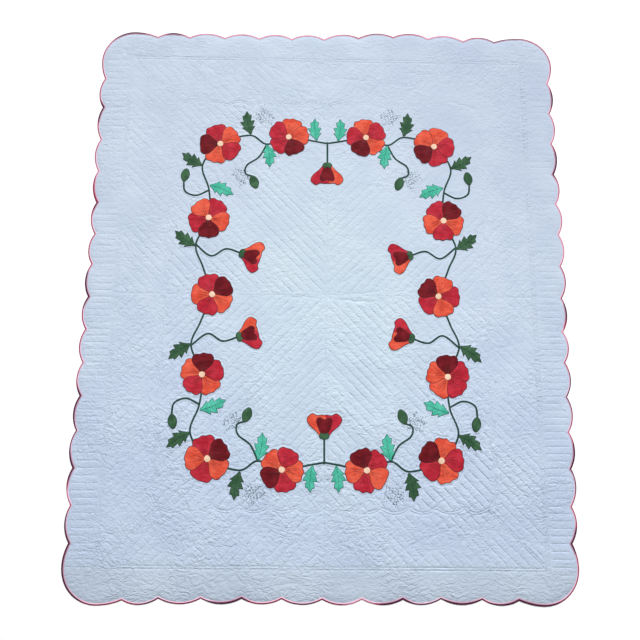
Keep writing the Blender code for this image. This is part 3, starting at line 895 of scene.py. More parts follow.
for number, index, turn, row, quarter in copies(BLOSSOMS):
    colours = PETAL_COLOURS[(index + turn) % len(PETAL_COLOURS)]
    shapes = {}
    for petal, order in enumerate(PETAL_ORDER):
        foot = TOP_PETAL_FOOT if order == max(PETAL_ORDER) else PETAL_FOOT
        outline = laid(petal_outline(row, petal, foot, 100 * number + petal), row, quarter)
        shapes[petal] = SewnShape(outline, layer=LAYER_RISE * order)
    petals, sewing, middle = Stock(), Stock(), Stock()
    for petal, shape in shapes.items():
        shape.add_to(petals, PETAL_CLOTHS[colours[petal]])
        covers = [shapes[other] for other in shapes if PETAL_ORDER[other] > PETAL_ORDER[petal]]
        add_edge_stitching(sewing, shape, covers)
        add_fold_lines(sewing, row, quarter, petal, shape, covers,
                       FOLD_LINE_SEED + 10 * number + petal)
    finish_piece(f"blossom_petals_{number:02d}", petals, PETAL_COTTONS,
                 [f"blossom_{number:02d}"])
    add_stamens(sewing, row, quarter, STAMEN_SEED + number)
    finish_piece(f"blossom_stitching_{number:02d}", sewing, [PLUM_THREAD, BROWN_THREAD],
                 [])
    rim = directions(np.linspace(0.0, math.tau, MIDDLE_POINTS, endpoint=False))
    disc = laid(rim * (MIDDLE_SHARE * row.radius), row, quarter)
    SewnShape(disc, layer=MIDDLE_LAYER, plump=MIDDLE_PLUMP).add_to(middle)
    finish_piece(f"blossom_middle_{number:02d}", middle, [CREAM_COTTON], [])


# ========================================
# Cups: half-open blossoms seen from the side, of an orange and a crimson petal behind and
# a maroon one in front, held in a green calyx at the end of the stem.
# ========================================

CUPS = (Piece(0.000, 0.580, 270, 0.105, 0.140), Piece(0.362, 0.178, 196, 0.100, 0.135))
# Cuts, as shares of the length, along, and of the half width, across.
SIDE_PETAL = ((0.02, 0.10), (0.03, -0.18), (0.26, -0.46), (0.52, -0.88), (0.76, -1.00),
              (0.95, -0.70), (0.88, -0.42), (0.90, -0.14), (0.84, 0.10), (0.45, 0.20))
FRONT_PETAL = ((0.02, 0.00), (0.18, -0.20), (0.46, -0.38), (0.70, -0.46), (0.80, -0.28),
               (0.73, -0.02), (0.81, 0.26), (0.71, 0.46), (0.46, 0.38), (0.18, 0.20))
CALYX = ((-0.02, 0.00), (0.00, -0.20), (0.12, -0.30), (0.23, -0.16), (0.18, 0.00), (0.23, 0.16),
         (0.12, 0.30), (0.00, 0.20))
# The petals in the order in which they are sewn on, each with the hand of its cut.
CUP_PETALS = ((SIDE_PETAL, 1), (SIDE_PETAL, -1), (FRONT_PETAL, 1))
CALYX_LAYER = 3.2 * LAYER_RISE
CUP_CLOTHS = ((0, 1), (1, 0))


def cup_cut(stations, row, hand):
    knots = [(hand * 0.5 * row.width * across, row.length * along) for along, across in stations]
    return smooth_route(knots, PETAL_STEP, closed=True)


for number, index, turn, row, quarter in copies(CUPS):
    left_cloth, right_cloth = CUP_CLOTHS[turn % 2]
    shapes = [SewnShape(laid(cup_cut(cut, row, hand), row, quarter), layer=LAYER_RISE * order)
              for order, (cut, hand) in enumerate(CUP_PETALS)]
    cap = SewnShape(laid(cup_cut(CALYX, row, 1), row, quarter), layer=CALYX_LAYER)
    petals, sewing, calyx = Stock(), Stock(), Stock()
    for place, (shape, cloth) in enumerate(zip(shapes, (left_cloth, right_cloth, 2))):
        shape.add_to(petals, cloth)
        add_edge_stitching(sewing, shape, [*shapes[place + 1:], cap])
    cap.add_to(calyx)
    finish_piece(f"cup_petals_{number:02d}", petals, PETAL_COTTONS,
                 [f"cup_{number:02d}"])
    add_edge_stitching(sewing, cap, cloth=1)
    finish_piece(f"cup_stitching_{number:02d}", sewing, [PLUM_THREAD, FOREST_THREAD],
                 [])
    finish_piece(f"cup_calyx_{number:02d}", calyx, [FOREST_COTTON], [])


# ========================================
# Sprays: fine filler fronds worked straight on the cloth in grey-green thread, a curved
# stalk with side shoots that end in clusters of short seed stitches.
# ========================================

Spray = namedtuple("Spray", "x y turn length")
SPRAYS = (Spray(0.236, 0.752, 55, 0.090), Spray(0.398, 0.560, 240, 0.090))
# The stalk is a row of stitches along a slow curve.
STALK_BOW, STALK_TURN = 0.12, 2.4
STALK_STITCHES = 12
STALK_STARTS, STALK_ENDS, STALK_GAP = (0.0, 0.92), (0.06, 0.98), 0.015
# Side shoots, shorter to the tip, each of three stitches with seed stitches scattered round its end.
SPRAY_SHOOTS = 9
SHOOTS_FROM, SHOOTS_SPAN = 0.12, 0.80
SHOOT_LEAN = 0.75
SHOOT_LENGTH, SHOOT_SHORTENED, SHOOT_UNEVEN = 0.48, 0.26, (0.85, 1.15)
SHOOT_STITCHES, SHOOT_STITCH_SHARE = 3, 0.75
SPRAY_SEED = 500
SEEDS_PER_SHOOT = 8
SEEDS_ALONG, SEEDS_SCATTER = (0.55, 1.25), 0.0056
SEED_STITCH = 0.0056
SPRAY_STITCH_WIDTH, SPRAY_STITCH_PROUD, SPRAY_RISE = 0.0026, 0.4, 0.0003
SPRAY_THREAD = thread("spray_thread", (0.036, 0.068, 0.074), (0.088, 0.135, 0.142))


def spray_stitches(row, rng):
    """Starts and ends of the stitches of one frond, with +Y along its stalk."""
    def stalk(share):
        return np.array([STALK_BOW * row.length * math.sin(STALK_TURN * share), row.length * share])
    runs = [(stalk(start), stalk(end - STALK_GAP))
            for start, end in zip(np.linspace(*STALK_STARTS, STALK_STITCHES),
                                  np.linspace(*STALK_ENDS, STALK_STITCHES))]
    for shoot in range(SPRAY_SHOOTS):
        share = SHOOTS_FROM + SHOOTS_SPAN * shoot / SPRAY_SHOOTS
        hand = 1 if shoot % 2 else -1
        foot = stalk(share)
        reach = row.length * (SHOOT_LENGTH - SHOOT_SHORTENED * share) * rng.uniform(*SHOOT_UNEVEN)
        way = reach * np.array([hand * math.cos(SHOOT_LEAN), math.sin(SHOOT_LEAN)])
        for part in range(SHOOT_STITCHES):
            runs.append((foot + way * part / SHOOT_STITCHES,
                         foot + way * (part + SHOOT_STITCH_SHARE) / SHOOT_STITCHES))
        for seed in range(SEEDS_PER_SHOOT):
            middle = foot + way * rng.uniform(*SEEDS_ALONG) + rng.normal(0.0, SEEDS_SCATTER, 2)
            lean = rng.uniform(0.0, math.pi)
            half = 0.5 * SEED_STITCH * np.array([math.cos(lean), math.sin(lean)])
            runs.append((middle - half, middle + half))
    return np.array(runs)


for number, _, _, row, quarter in copies(SPRAYS):
    runs = spray_stitches(row, np.random.default_rng(SPRAY_SEED + number))
    sewing = Stock()
    starts, ends = laid(runs[:, 0], row, quarter), laid(runs[:, 1], row, quarter)
    add_stitches(sewing, starts, ends, lie_of_cloth(starts) + SPRAY_RISE,
                 lie_of_cloth(ends) + SPRAY_RISE, SPRAY_STITCH_WIDTH, proud=SPRAY_STITCH_PROUD)
    finish_piece(f"spray_stitching_{number:02d}", sewing, [SPRAY_THREAD], [])


# ========================================
# Quilt top: ice-blue cotton, quilted through to the back by hand. Diagonals meet in chevrons
# on the middle lines, double lines go round the garland and inside the border, ribs run out
# to the scallops, and one line follows the edge of everything that is sewn on.
# ========================================

# The cut edge runs anticlockwise in scallops, with a large lobe round each corner. Each side
# has its first cusp, and the widths of its scallops as they were marked and cut.
SCALLOP_DEPTH = 0.0195
CORNER_RADIUS = 0.140
EDGE_STEPS = {"scallop": 28, "half_lobe": 14, "corner": 44}
Side = namedtuple("Side", "name travel cusp_line first_cusp widths")
SIDES = (
    Side("bottom", (1, 0), 1.178, -0.762,
         (0.137, 0.161, 0.155, 0.152, 0.156, 0.149, 0.156, 0.145, 0.159, 0.141)),
    Side("right", (0, 1), 0.981, -0.969,
         (0.138, 0.143, 0.142, 0.139, 0.139, 0.126, 0.141, 0.139, 0.138, 0.136, 0.134, 0.141,
          0.141, 0.144)),
    Side("top", (-1, 0), 1.172, -0.748,
         (0.140, 0.158, 0.156, 0.156, 0.153, 0.146, 0.146, 0.155, 0.157, 0.141)),
    Side("left", (0, -1), 0.980, -0.965,
         (0.138, 0.150, 0.144, 0.142, 0.139, 0.130, 0.138, 0.135, 0.137, 0.134, 0.136, 0.142,
          0.141, 0.140)),
)
# Slow bows of the sides: where each has its middle, how far it reaches and how far out it goes.
Bow = namedtuple("Bow", "side place reach rise")
BOWS = (Bow("bottom", -0.80, 0.25, 0.010), Bow("bottom", 0.50, 0.30, -0.005),
        Bow("right", 0.27, 0.45, 0.008), Bow("right", -1.00, 0.35, -0.014),
        Bow("top", -0.30, 0.38, 0.018), Bow("left", -0.25, 0.28, -0.007),
        Bow("left", 0.70, 0.35, 0.007))

# The marked lines. A gap is how far a line is from the middle of its double line, or from the
# edge of a sewn piece.
GARLAND_LINE_X, GARLAND_LINE_Y = 0.655, 0.840
GARLAND_LOBES_ACROSS, GARLAND_LOBES_UP = 10, 13
GARLAND_LOBE, GARLAND_LOBE_DEPTH = 0.110, 0.022
GARLAND_CORNER_RADIUS = 0.085
GARLAND_STEPS = {"scallop": 12, "half_lobe": 6, "corner": 14}
GARLAND_GAP = 0.0046
FRAME_X, FRAME_Y, FRAME_GAP = 0.865, 1.066, 0.0052
CORNER_GAP = 0.0040
DIAGONAL_PITCH, DIAGONAL_REACH = 0.0303, 1.5
DIAGONALS = DIAGONAL_PITCH * np.arange(-57.0, 58.0)
RIBS_PER_SCALLOP = 5
RIB_PITCH, RIBS_PAST_CORNER, RIB_REACH = 0.029, 11, 0.20
WAVE_LINE, WAVE_HEIGHT, WAVE_LENGTH, WAVE_REACH, WAVE_GAP = 0.955, 0.038, 0.432, 0.800, 0.0048
ECHO_GAP = 0.0082

# A line of quilting draws the cloth down to a sharp crease, which rises slowly on both sides.
GROOVE_DEPTH = 0.0011
GROOVE_WIDTH = 0.0011
GROOVE_SHARPNESS = 1.1
# How deep each kind of line is drawn down, as a share of GROOVE_DEPTH. The garland's line is
# drawn down more from where the head begins.
DRAWN = {"inner": 0.95, "outer": 0.70, "side_rib": 0.78, "end_rib": 0.25, "garland": 0.90,
         "head_garland": 1.35, "side_frame": 0.60, "head_frame": 1.28, "foot_frame": 0.90,
         "wave": 0.27, "echo": 0.75, "corner": 0.95, "outer_corner": 0.22, "middle": 0.72}
HEAD_FROM, HEAD_FADES = 0.55, 0.15
# Areas where all lines are drawn down more (the middle, where the quilting began, the foot, and
# its right half) or less (the head, the right side, and the upper right inside the garland and
# round it).
Area = namedtuple("Area", "x y reach_x reach_y more")
DRAWN_AREAS = (
    Area(0.00, 0.00, 0.45, 0.45, 0.50), Area(0.00, -1.10, 2.50, 0.80, 0.60),
    Area(0.62, -0.72, 0.36, 0.34, 0.50), Area(0.00, 1.20, 2.50, 0.40, -0.18),
    Area(1.00, 0.10, 0.20, 1.40, -0.30), Area(0.34, 0.38, 0.36, 0.40, -0.42),
    Area(0.62, 0.72, 0.34, 0.34, -0.55))
UNEVEN_PULLS = (Waver(0.14, 0.10, 0.42, 61), Waver(0.052, 0.040, 0.28, 62))

# The cloth falls to the binding at its edge, and lines of quilting end just short of it.
BINDING_WIDTH = 0.0078
TOP_INSET = 0.0022
EDGE_TOP = 0.0017
EDGE_SWELL = 0.0110
LINES_REACH = 0.0030

# Rucks between the lines, and the main creases, where the quilt has lain folded: sharp troughs,
# each along a bowed, swaying line. Both die out at a sewn piece and go shallower in a groove.
RUCKS = (Waver(0.052, 0.036, 0.00030, 51), Waver(0.029, 0.020, 0.00032, 52))
Crease = namedtuple("Crease", "x y length turn bow depth")
MAIN_CREASES = (
    Crease(0.138, -0.018, 0.22, -2, -0.006, 0.0022), Crease(0.150, 0.020, 0.20, 6, -0.010, 0.0016),
    Crease(-0.106, -0.014, 0.16, -1, 0.006, 0.0017), Crease(-0.165, -0.068, 0.12, 29, -0.006, 0.0014),
    Crease(0.110, 0.075, 0.20, 32, 0.004, 0.0013), Crease(-0.832, -0.930, 0.16, -37, -0.010, 0.0010),
    Crease(-0.405, -0.978, 0.24, -3, -0.012, 0.0011), Crease(-0.763, -1.037, 0.13, 43, 0.004, 0.0011),
    Crease(0.394, -0.964, 0.26, 20, 0.006, 0.0010), Crease(0.765, -0.945, 0.17, -17, -0.010, 0.0010),
    Crease(0.847, -1.117, 0.10, -58, 0.004, 0.0010), Crease(-0.120, -1.130, 0.22, 6, 0.008, 0.0010),
    Crease(0.590, 0.850, 0.18, -15, 0.014, 0.0010), Crease(0.410, 1.014, 0.18, -4, -0.008, 0.0008),
    Crease(0.104, 0.970, 0.20, -4, 0.006, 0.0008), Crease(-0.524, 1.014, 0.14, -33, 0.005, 0.0009),
    Crease(-0.228, 1.024, 0.20, -26, -0.006, 0.0009), Crease(-0.136, 0.910, 0.26, -20, 0.008, 0.0009),
    Crease(-0.760, 0.310, 0.16, -24, 0.006, 0.0009), Crease(0.740, -0.200, 0.18, 14, -0.006, 0.0008))
CREASE_WIDTH = 0.0036
CREASE_WAVE, CREASE_SWAY = 0.060, 0.0024
RUCKS_FROM, RUCKS_GROW, RUCKS_IN_GROOVE = 0.004, 0.008, 0.35


def bowed(side, along):
    """How far the slow bows of one side push a cusp out at this place along it."""
    push = 0.0
    for bow in BOWS:
        away = abs(along - bow.place)
        if bow.side == side and away < bow.reach:
            push += bow.rise * math.cos(0.5 * math.pi * away / bow.reach) ** 2
    return push


def drop_from_crest(away, half_width, depth):
    """Drop of a round lobe below its crest, at a distance to one side of the crest."""
    radius = (half_width ** 2 + depth ** 2) / (2.0 * depth)
    return radius - math.sqrt(max(0.0, radius ** 2 - away ** 2))


def scallop(start, end, outward, depth, steps):
    """Points of one scallop, from its first cusp up to but not including its last."""
    half = 0.5 * (end - start).length
    return [start.lerp(end, step / steps) + outward
            * (depth - drop_from_crest((2.0 * step / steps - 1.0) * half, half, depth))
            for step in range(steps)]


def corner_lobe(start, end, travel, outward, depth, radius, steps):
    """A large lobe round a corner: half a scallop, a quarter circle, half a scallop."""
    crest_out = start.dot(outward) + depth
    crest_on = end.dot(travel) + depth
    turn_on, turn_out = crest_on - radius, crest_out - radius
    reach, reach_end = turn_on - start.dot(travel), turn_out - end.dot(outward)
    halves = steps["half_lobe"]
    points = []
    for step in range(halves):
        left = reach * (1.0 - step / halves)
        points.append(travel * (turn_on - left)
                      + outward * (crest_out - drop_from_crest(left, reach, depth)))
    for step in range(steps["corner"] + 1):
        angle = 0.5 * math.pi * step / steps["corner"]
        points.append(travel * (turn_on + radius * math.sin(angle))
                      + outward * (turn_out + radius * math.cos(angle)))
    for step in range(1, halves):
        gone = reach_end * step / halves
        points.append(travel * (crest_on - drop_from_crest(gone, reach_end, depth))
                      + outward * (turn_out - gone))
    return points


def scalloped_loop(cusp_places, cusp_line, depth, radius, steps):
    """A closed scalloped outline, anticlockwise, round the four sides."""
    runs = []
    for side in SIDES:
        travel = Vector(side.travel)
        outward = Vector((travel.y, -travel.x))
        runs.append((travel, outward, [travel * place + outward * cusp_line(side, place)
                                       for place in cusp_places(side)]))
    points = []
    for index, (travel, outward, cusps) in enumerate(runs):
        for start, end in zip(cusps, cusps[1:]):
            points += scallop(start, end, outward, depth, steps["scallop"])
        points += corner_lobe(cusps[-1], runs[(index + 1) % len(runs)][2][0], travel, outward,
                              depth, radius, steps)
    return np.array([tuple(point) for point in points])


def edge_cusps(side):
    return side.first_cusp + np.concatenate([[0.0], np.cumsum(side.widths)])


def garland_cusps(side):
    lobes = GARLAND_LOBES_ACROSS if side.travel[1] == 0 else GARLAND_LOBES_UP
    return GARLAND_LOBE * (np.arange(lobes + 1) - 0.5 * lobes)


edge = scalloped_loop(edge_cusps, lambda side, place: side.cusp_line + bowed(side.name, place),
                      SCALLOP_DEPTH, CORNER_RADIUS, EDGE_STEPS)
edge_middle = 0.5 * (edge.min(0) + edge.max(0))
edge -= edge_middle
garland_line = scalloped_loop(
    garland_cusps, lambda side, place: GARLAND_LINE_Y if side.travel[1] == 0 else GARLAND_LINE_X,
    GARLAND_LOBE_DEPTH, GARLAND_CORNER_RADIUS, GARLAND_STEPS)


def inset_loop(loop, distance):
    """A closed anticlockwise loop moved inward, with mitred corners."""
    before = loop - np.roll(loop, 1, axis=0)
    after = np.roll(loop, -1, axis=0) - loop
    normals = []
    for run in (before, after):
        run = run / np.linalg.norm(run, axis=1, keepdims=True)
        normals.append(np.stack([-run[:, 1], run[:, 0]], 1))
    mitre = normals[0] + normals[1]
    mitre /= np.linalg.norm(mitre, axis=1, keepdims=True)
    return loop + mitre * (distance / (mitre * normals[1]).sum(1, keepdims=True))


def even_points(curve, step, closed=False):
    """Points at an even step along a curve."""
    if closed:
        curve = np.vstack([curve, curve[:1]])
    gone = np.concatenate([[0.0], np.cumsum(np.linalg.norm(np.diff(curve, axis=0), axis=1))])
    count = max(2, round(gone[-1] / step) + (0 if closed else 1))
    at = np.linspace(0.0, gone[-1], count, endpoint=not closed)
    return np.stack([np.interp(at, gone, curve[:, 0]), np.interp(at, gone, curve[:, 1])], 1)


class Nearest:
    """Finds the distance from places to the nearest of many marked points."""

    def __init__(self, curves, step):
        points = np.vstack([even_points(curve, step, closed=True) for curve in curves])
        self.tree = KDTree(len(points))
        for index, (x, y) in enumerate(points.tolist()):
            self.tree.insert((x, y, 0.0), index)
        self.tree.balance()

    def __call__(self, places):
        find = self.tree.find
        return np.array([find((x, y, 0.0))[2] for x, y in places.tolist()])


EDGE_MARKS, GARLAND_MARKS, SEWN_MARKS = 0.004, 0.002, 0.0025
near_edge = Nearest([edge], EDGE_MARKS)
near_garland_line = Nearest([garland_line], GARLAND_MARKS)
near_sewn = Nearest(sewn_outlines, SEWN_MARKS)


def rib_places(side):
    """Where the ribs of one side stand, from its scallops, and on past both corners."""
    cusps = edge_cusps(side)
    places = np.concatenate([np.linspace(start, end, RIBS_PER_SCALLOP, endpoint=False)
                             for start, end in zip(cusps, cusps[1:])] + [cusps[-1:]])
    more = RIB_PITCH * np.arange(1, RIBS_PAST_CORNER + 1)
    places = np.concatenate([places[0] - more[::-1], places, places[-1] + more])
    return np.sort(places * sum(side.travel)) - edge_middle[abs(side.travel[1])]


RIBS = {side.name: rib_places(side) for side in SIDES[::2] + SIDES[1::2]}


def to_nearest(values, places):
    """Distance from each value to the nearest of some sorted places."""
    after = np.clip(np.searchsorted(places, values), 1, len(places) - 1)
    return np.minimum(np.abs(values - places[after - 1]), np.abs(places[after] - values))


def wave_height(x):
    return WAVE_LINE + WAVE_HEIGHT * np.cos(math.tau * x / WAVE_LENGTH)


class Marks:
    """Where places lie on the marked pattern: their region, and how far each line is."""

    def __init__(self, places):
        self.x, self.y = places[:, 0], places[:, 1]
        out_x, out_y = np.abs(self.x) - FRAME_X, np.abs(self.y) - FRAME_Y
        self.border = (out_x > 0) | (out_y > 0)
        self.on_side = out_x > out_y
        self.in_garland = inside_in_parts(places, garland_line) & ~self.border
        self.garland = near_garland_line(places)
        self.sewn = near_sewn(places)
        self.edge = near_edge(places)
        self.across = (np.abs(self.x) - np.abs(self.y)) / math.sqrt(2.0)
        self.frame = np.where(self.border, np.hypot(np.maximum(out_x, 0), np.maximum(out_y, 0)),
                              -np.maximum(out_x, out_y))
        self.corner = np.abs(out_x - out_y) / math.sqrt(2.0)
        turn = math.tau / WAVE_LENGTH
        slope = WAVE_HEIGHT * turn * np.sin(turn * self.x)
        self.wave = np.where(
            np.abs(self.x) < WAVE_REACH,
            np.abs(np.abs(self.y) - wave_height(self.x)) / np.sqrt(1.0 + slope ** 2), 1.0)

    def ribs(self):
        """Distance to the nearest rib of the side that each place is on."""
        level = np.where(self.y > 0, to_nearest(self.x, RIBS["top"]),
                         to_nearest(self.x, RIBS["bottom"]))
        upright = np.where(self.x > 0, to_nearest(self.y, RIBS["right"]),
                           to_nearest(self.y, RIBS["left"]))
        return np.where(self.on_side, upright, level)

    def crowned(self):
        """1 on the crown between lines of quilting, down to 0 on a line."""
        def groove(distance, depth):
            return 1.0 - depth * np.exp(-(np.abs(distance) / GROOVE_WIDTH) ** GROOVE_SHARPNESS)

        def where(region, kind, other_kind):
            return np.where(region, DRAWN[kind], DRAWN[other_kind])

        diagonal = to_nearest(self.across, DIAGONALS)
        middle = np.minimum(np.abs(self.x), np.abs(self.y))
        field = ~self.border & (self.sewn > ECHO_GAP)
        crown = np.where(field, groove(diagonal, where(self.in_garland, "inner", "outer"))
                         * groove(middle, DRAWN["middle"]), 1.0)
        crown *= np.where(self.border, groove(self.ribs(), where(self.on_side, "side_rib", "end_rib")),
                          1.0)
        at_head = np.clip((self.y - HEAD_FROM) / HEAD_FADES, 0.0, 1.0)
        crown *= groove(self.garland - GARLAND_GAP, DRAWN["garland"]
                        + (DRAWN["head_garland"] - DRAWN["garland"]) * at_head)
        end_frame = where(self.y > 0, "head_frame", "foot_frame")
        crown *= groove(self.frame - FRAME_GAP,
                        np.where(self.on_side, DRAWN["side_frame"], end_frame))
        crown *= groove(self.wave - WAVE_GAP, DRAWN["wave"])
        crown *= groove(self.sewn - ECHO_GAP, DRAWN["echo"])
        mitre = groove(self.corner - CORNER_GAP, where(self.border, "outer_corner", "corner"))
        return crown * np.where(self.in_garland, 1.0, mitre)


MOST_AT_ONCE = 20000


def inside_in_parts(places, outline):
    """As inside(), for more places than memory takes at once."""
    parts = np.array_split(places, max(1, len(places) // MOST_AT_ONCE))
    return np.concatenate([inside(part, outline) for part in parts])


def crease_line(crease, along):
    """How far a crease strays from its straight line, and how deep it is there (0 to 1)."""
    fading = 1.0 - np.clip(2.0 * along / crease.length, -1.0, 1.0) ** 2
    sway = CREASE_SWAY * np.sin(math.tau * (along + crease.x + crease.y) / CREASE_WAVE)
    return crease.bow * fading + sway, fading


def creased(places):
    """How far the main creases let the cloth sink at these places."""
    sunk = np.zeros(len(places))
    for crease in MAIN_CREASES:
        turn = math.radians(crease.turn)
        from_middle = places - (crease.x, crease.y)
        along = from_middle @ (math.cos(turn), math.sin(turn))
        across = from_middle @ (-math.sin(turn), math.cos(turn))
        strays, fading = crease_line(crease, along)
        sunk += crease.depth * fading * np.exp(-((across - strays) / CREASE_WIDTH) ** 2)
    return sunk


def crease_points(crease, step):
    """Points along a crease and along rows beside it."""
    along = np.arange(-0.5 * crease.length, 0.5 * crease.length, step)
    turn = math.radians(crease.turn)
    strays, _ = crease_line(crease, along)
    line = (np.array([[crease.x, crease.y]])
            + along[:, None] * (math.cos(turn), math.sin(turn))
            + strays[:, None] * (-math.sin(turn), math.cos(turn)))
    return rows_beside(line, CREASE_SIDES, step)


def cloth_height(places, marks, crown):
    """Height of the quilted top, from how near each place is to a line of quilting."""
    drawn = 1.0 + uneven(places, UNEVEN_PULLS)
    for area in DRAWN_AREAS:
        away = (((places[:, 0] - area.x) / area.reach_x) ** 2
                + ((places[:, 1] - area.y) / area.reach_y) ** 2)
        drawn *= 1.0 + area.more * np.exp(-away)
    free = (np.clip((marks.sewn - RUCKS_FROM) / RUCKS_GROW, 0.0, 1.0)
            * (RUCKS_IN_GROOVE + (1.0 - RUCKS_IN_GROOVE) * crown))
    from_binding = np.maximum(marks.edge - BINDING_WIDTH, 0.0)
    swell = 1.0 - np.exp(-from_binding / EDGE_SWELL)
    reached = 1.0 - np.exp(-from_binding / LINES_REACH)
    relief = (uneven(places, RUCKS) - creased(places)) * free - GROOVE_DEPTH * drawn * (1.0 - crown)
    return EDGE_TOP + (lie_of_cloth(places) - EDGE_TOP) * swell + relief * reached


# Corners of the mesh lie on each line and in rows at these distances beside it.
GROOVE_SIDES = (0.0017, 0.0050)
CREASE_SIDES = (0.0, 0.0032, -0.0032, 0.0072, -0.0072)
WIDEST_GAP = 0.0150
# Fineness of a cloth's mesh: its steps between the lines, along them and along the outline (in
# points of it), and whether it has every row.
Fineness = namedtuple("Fineness", "step line_step edge_step every_row")
TOP_FINENESS = Fineness(0.0120, 0.0095, 2, True)
CREASE_STEP_SHARE = 0.75
# How near corners come to one another, to the lines of another kind, and to the binding.
CORNERS_APART = 0.0016
FIELD_CLEAR, MIDDLE_CLEAR, MITRE_CLEAR, RIBS_START = 0.0080, 0.0085, 0.020, 0.0118
BINDING_ROWS, BINDING_CLEAR = (0.0012, 0.0060), 0.0085
# How far the mitre lines run in and out from the corners of the frame.
MITRE_ROWS = (-0.25, 0.10)
# The innermost row round a sewn piece, and how much nearer a row may come to the next piece.
BESIDE_SEWN, STRAYS = 0.0030, 0.0005
# More cells than a row of a grid over the quilt can have.
CELLS_IN_ROW = 100003


def rows_between(lines):
    """Rows on each line of quilting, close on both sides of it and, in a wide gap, midway."""
    rows = []
    for line, following in zip(lines, lines[1:]):
        rows += [line, *(line + side for side in GROOVE_SIDES)]
        if following - line - 2.0 * GROOVE_SIDES[-1] > WIDEST_GAP:
            rows.append(0.5 * (line + following))
        rows += [following - side for side in reversed(GROOVE_SIDES)]
    return np.array(rows)


def lattice(rows, low, high, step):
    """Points at an even step along each row: (along, across)."""
    along, across = np.meshgrid(np.arange(low, high, step), rows)
    return np.stack([along.ravel(), across.ravel()], 1)


def rows_beside(curve, offsets, step, closed=False):
    """Points along a curve and along rows beside it, of which the positive are to its left."""
    points = even_points(curve, step, closed)
    sides = left_of(points, closed)
    return np.vstack([points + sides * offset for offset in offsets])


def first_in_cells(places, gap):
    """Which places are the first in their cell of a square grid, cell by cell."""
    cells = np.floor(places / gap).astype(np.int64)
    return np.unique(cells[:, 0] * CELLS_IN_ROW + cells[:, 1], return_index=True)[1]


def spaced_out(places, gap):
    return places[np.sort(first_in_cells(places, gap))]


def double_line(gap):
    """Offsets of the rows for a double line, its grooves at this distance from its middle."""
    near, far = GROOVE_SIDES
    return [hand * offset for offset in (gap, gap + near, gap - near, gap + far)
            for hand in (1, -1)] + [0.0]


def double_lines(step):
    """The double lines but the mitres: middle curves, gap, and whether they are closed."""
    x = np.arange(-WAVE_REACH, WAVE_REACH, step)
    waves = [np.stack([x, sign * wave_height(x)], 1) for sign in (1, -1)]
    corners = np.array([(FRAME_X, FRAME_Y)]) * QUARTERS
    return (([garland_line], GARLAND_GAP, True), ([corners], FRAME_GAP, True),
            (waves, WAVE_GAP, False))


def mitres(ends):
    """The middles of the double lines through the corners of the frame, with these ends."""
    line = np.array([(FRAME_X + end, FRAME_Y + end) for end in ends])
    return [line * quarter for quarter in QUARTERS]


def diagonal_places(rows, step, clear):
    """Places along diagonal rows in one quarter, clear of the middle lines."""
    grid = lattice(rows, 0.0, DIAGONAL_REACH, step)
    places = np.stack([grid[:, 0] + grid[:, 1], grid[:, 0] - grid[:, 1]], 1) / math.sqrt(2.0)
    return places[(places > clear).all(1) & (places < (FRAME_X, FRAME_Y)).all(1)]


def is_upright(name):
    return name in ("left", "right")


def rib_points(name, rows, start, low, step, clear):
    """Places out along rows of ribs on one side of the frame, clear of the mitres."""
    grid = lattice(rows, low, RIB_REACH, step)
    sign = 1 if name in ("right", "top") else -1
    out = sign * ((FRAME_X if is_upright(name) else FRAME_Y) + start + grid[:, 0])
    places = np.stack([out, grid[:, 1]] if is_upright(name) else [grid[:, 1], out], 1)
    gap = (np.abs(places[:, 0]) - FRAME_X) - (np.abs(places[:, 1]) - FRAME_Y)
    return places[(gap if is_upright(name) else -gap) > clear]


def cloth_points(fineness):
    """Points all over the cloth: rows along every line of quilting and between the lines."""
    def rows_of(lines):
        return rows_between(lines) if fineness.every_row else rows_between(lines)[::3]

    line_step = fineness.line_step
    on_lines = [rows_beside(curve, double_line(gap), line_step, closed)
                for curves, gap, closed in double_lines(line_step) for curve in curves]
    for line in mitres(MITRE_ROWS):
        rows = rows_beside(line, double_line(CORNER_GAP), line_step)
        on_lines.append(rows[~inside(rows, garland_line)])
    for end in ((FRAME_X, 0.0), (0.0, FRAME_Y)):
        sides = (0.0, *GROOVE_SIDES, *(-side for side in GROOVE_SIDES))
        on_lines.append(rows_beside(np.array([end]) * [[-1], [1]], sides, line_step))
    if fineness.every_row:
        on_lines += [crease_points(crease, CREASE_STEP_SHARE * line_step) for crease in MAIN_CREASES]
    on_lines = np.vstack(on_lines)
    on_lines = on_lines[near_sewn(on_lines) > ECHO_GAP + 0.5 * GROOVE_SIDES[1]]
    beside_sewn = []
    for away in (ECHO_GAP, ECHO_GAP - GROOVE_SIDES[0], ECHO_GAP + GROOVE_SIDES[0], BESIDE_SEWN,
                 ECHO_GAP + GROOVE_SIDES[1]):
        row = np.vstack([rows_beside(anticlockwise(outline), (-away,), line_step, True)
                         for outline in sewn_outlines])
        beside_sewn.append(row[near_sewn(row) > away - STRAYS])
    on_lines = np.vstack([*beside_sewn, on_lines])
    if not fineness.every_row:
        on_lines = spaced_out(on_lines, 0.5 * line_step)
    quarter_field = diagonal_places(rows_of(DIAGONALS), fineness.step, MIDDLE_CLEAR)
    field = np.vstack([quarter_field * quarter for quarter in QUARTERS]
                      + [rib_points(name, rows_of(RIBS[name]), RIBS_START, 0.0, fineness.step,
                                    MITRE_CLEAR) for name in RIBS])
    marks = Marks(field)
    room = np.minimum.reduce([marks.garland - GARLAND_GAP, marks.frame - FRAME_GAP,
                              marks.wave - WAVE_GAP, marks.sewn - ECHO_GAP])
    room = np.where(marks.in_garland, room, np.minimum(room, marks.corner - CORNER_GAP))
    return spaced_out(np.vstack([on_lines, field[room > FIELD_CLEAR]]), CORNERS_APART)


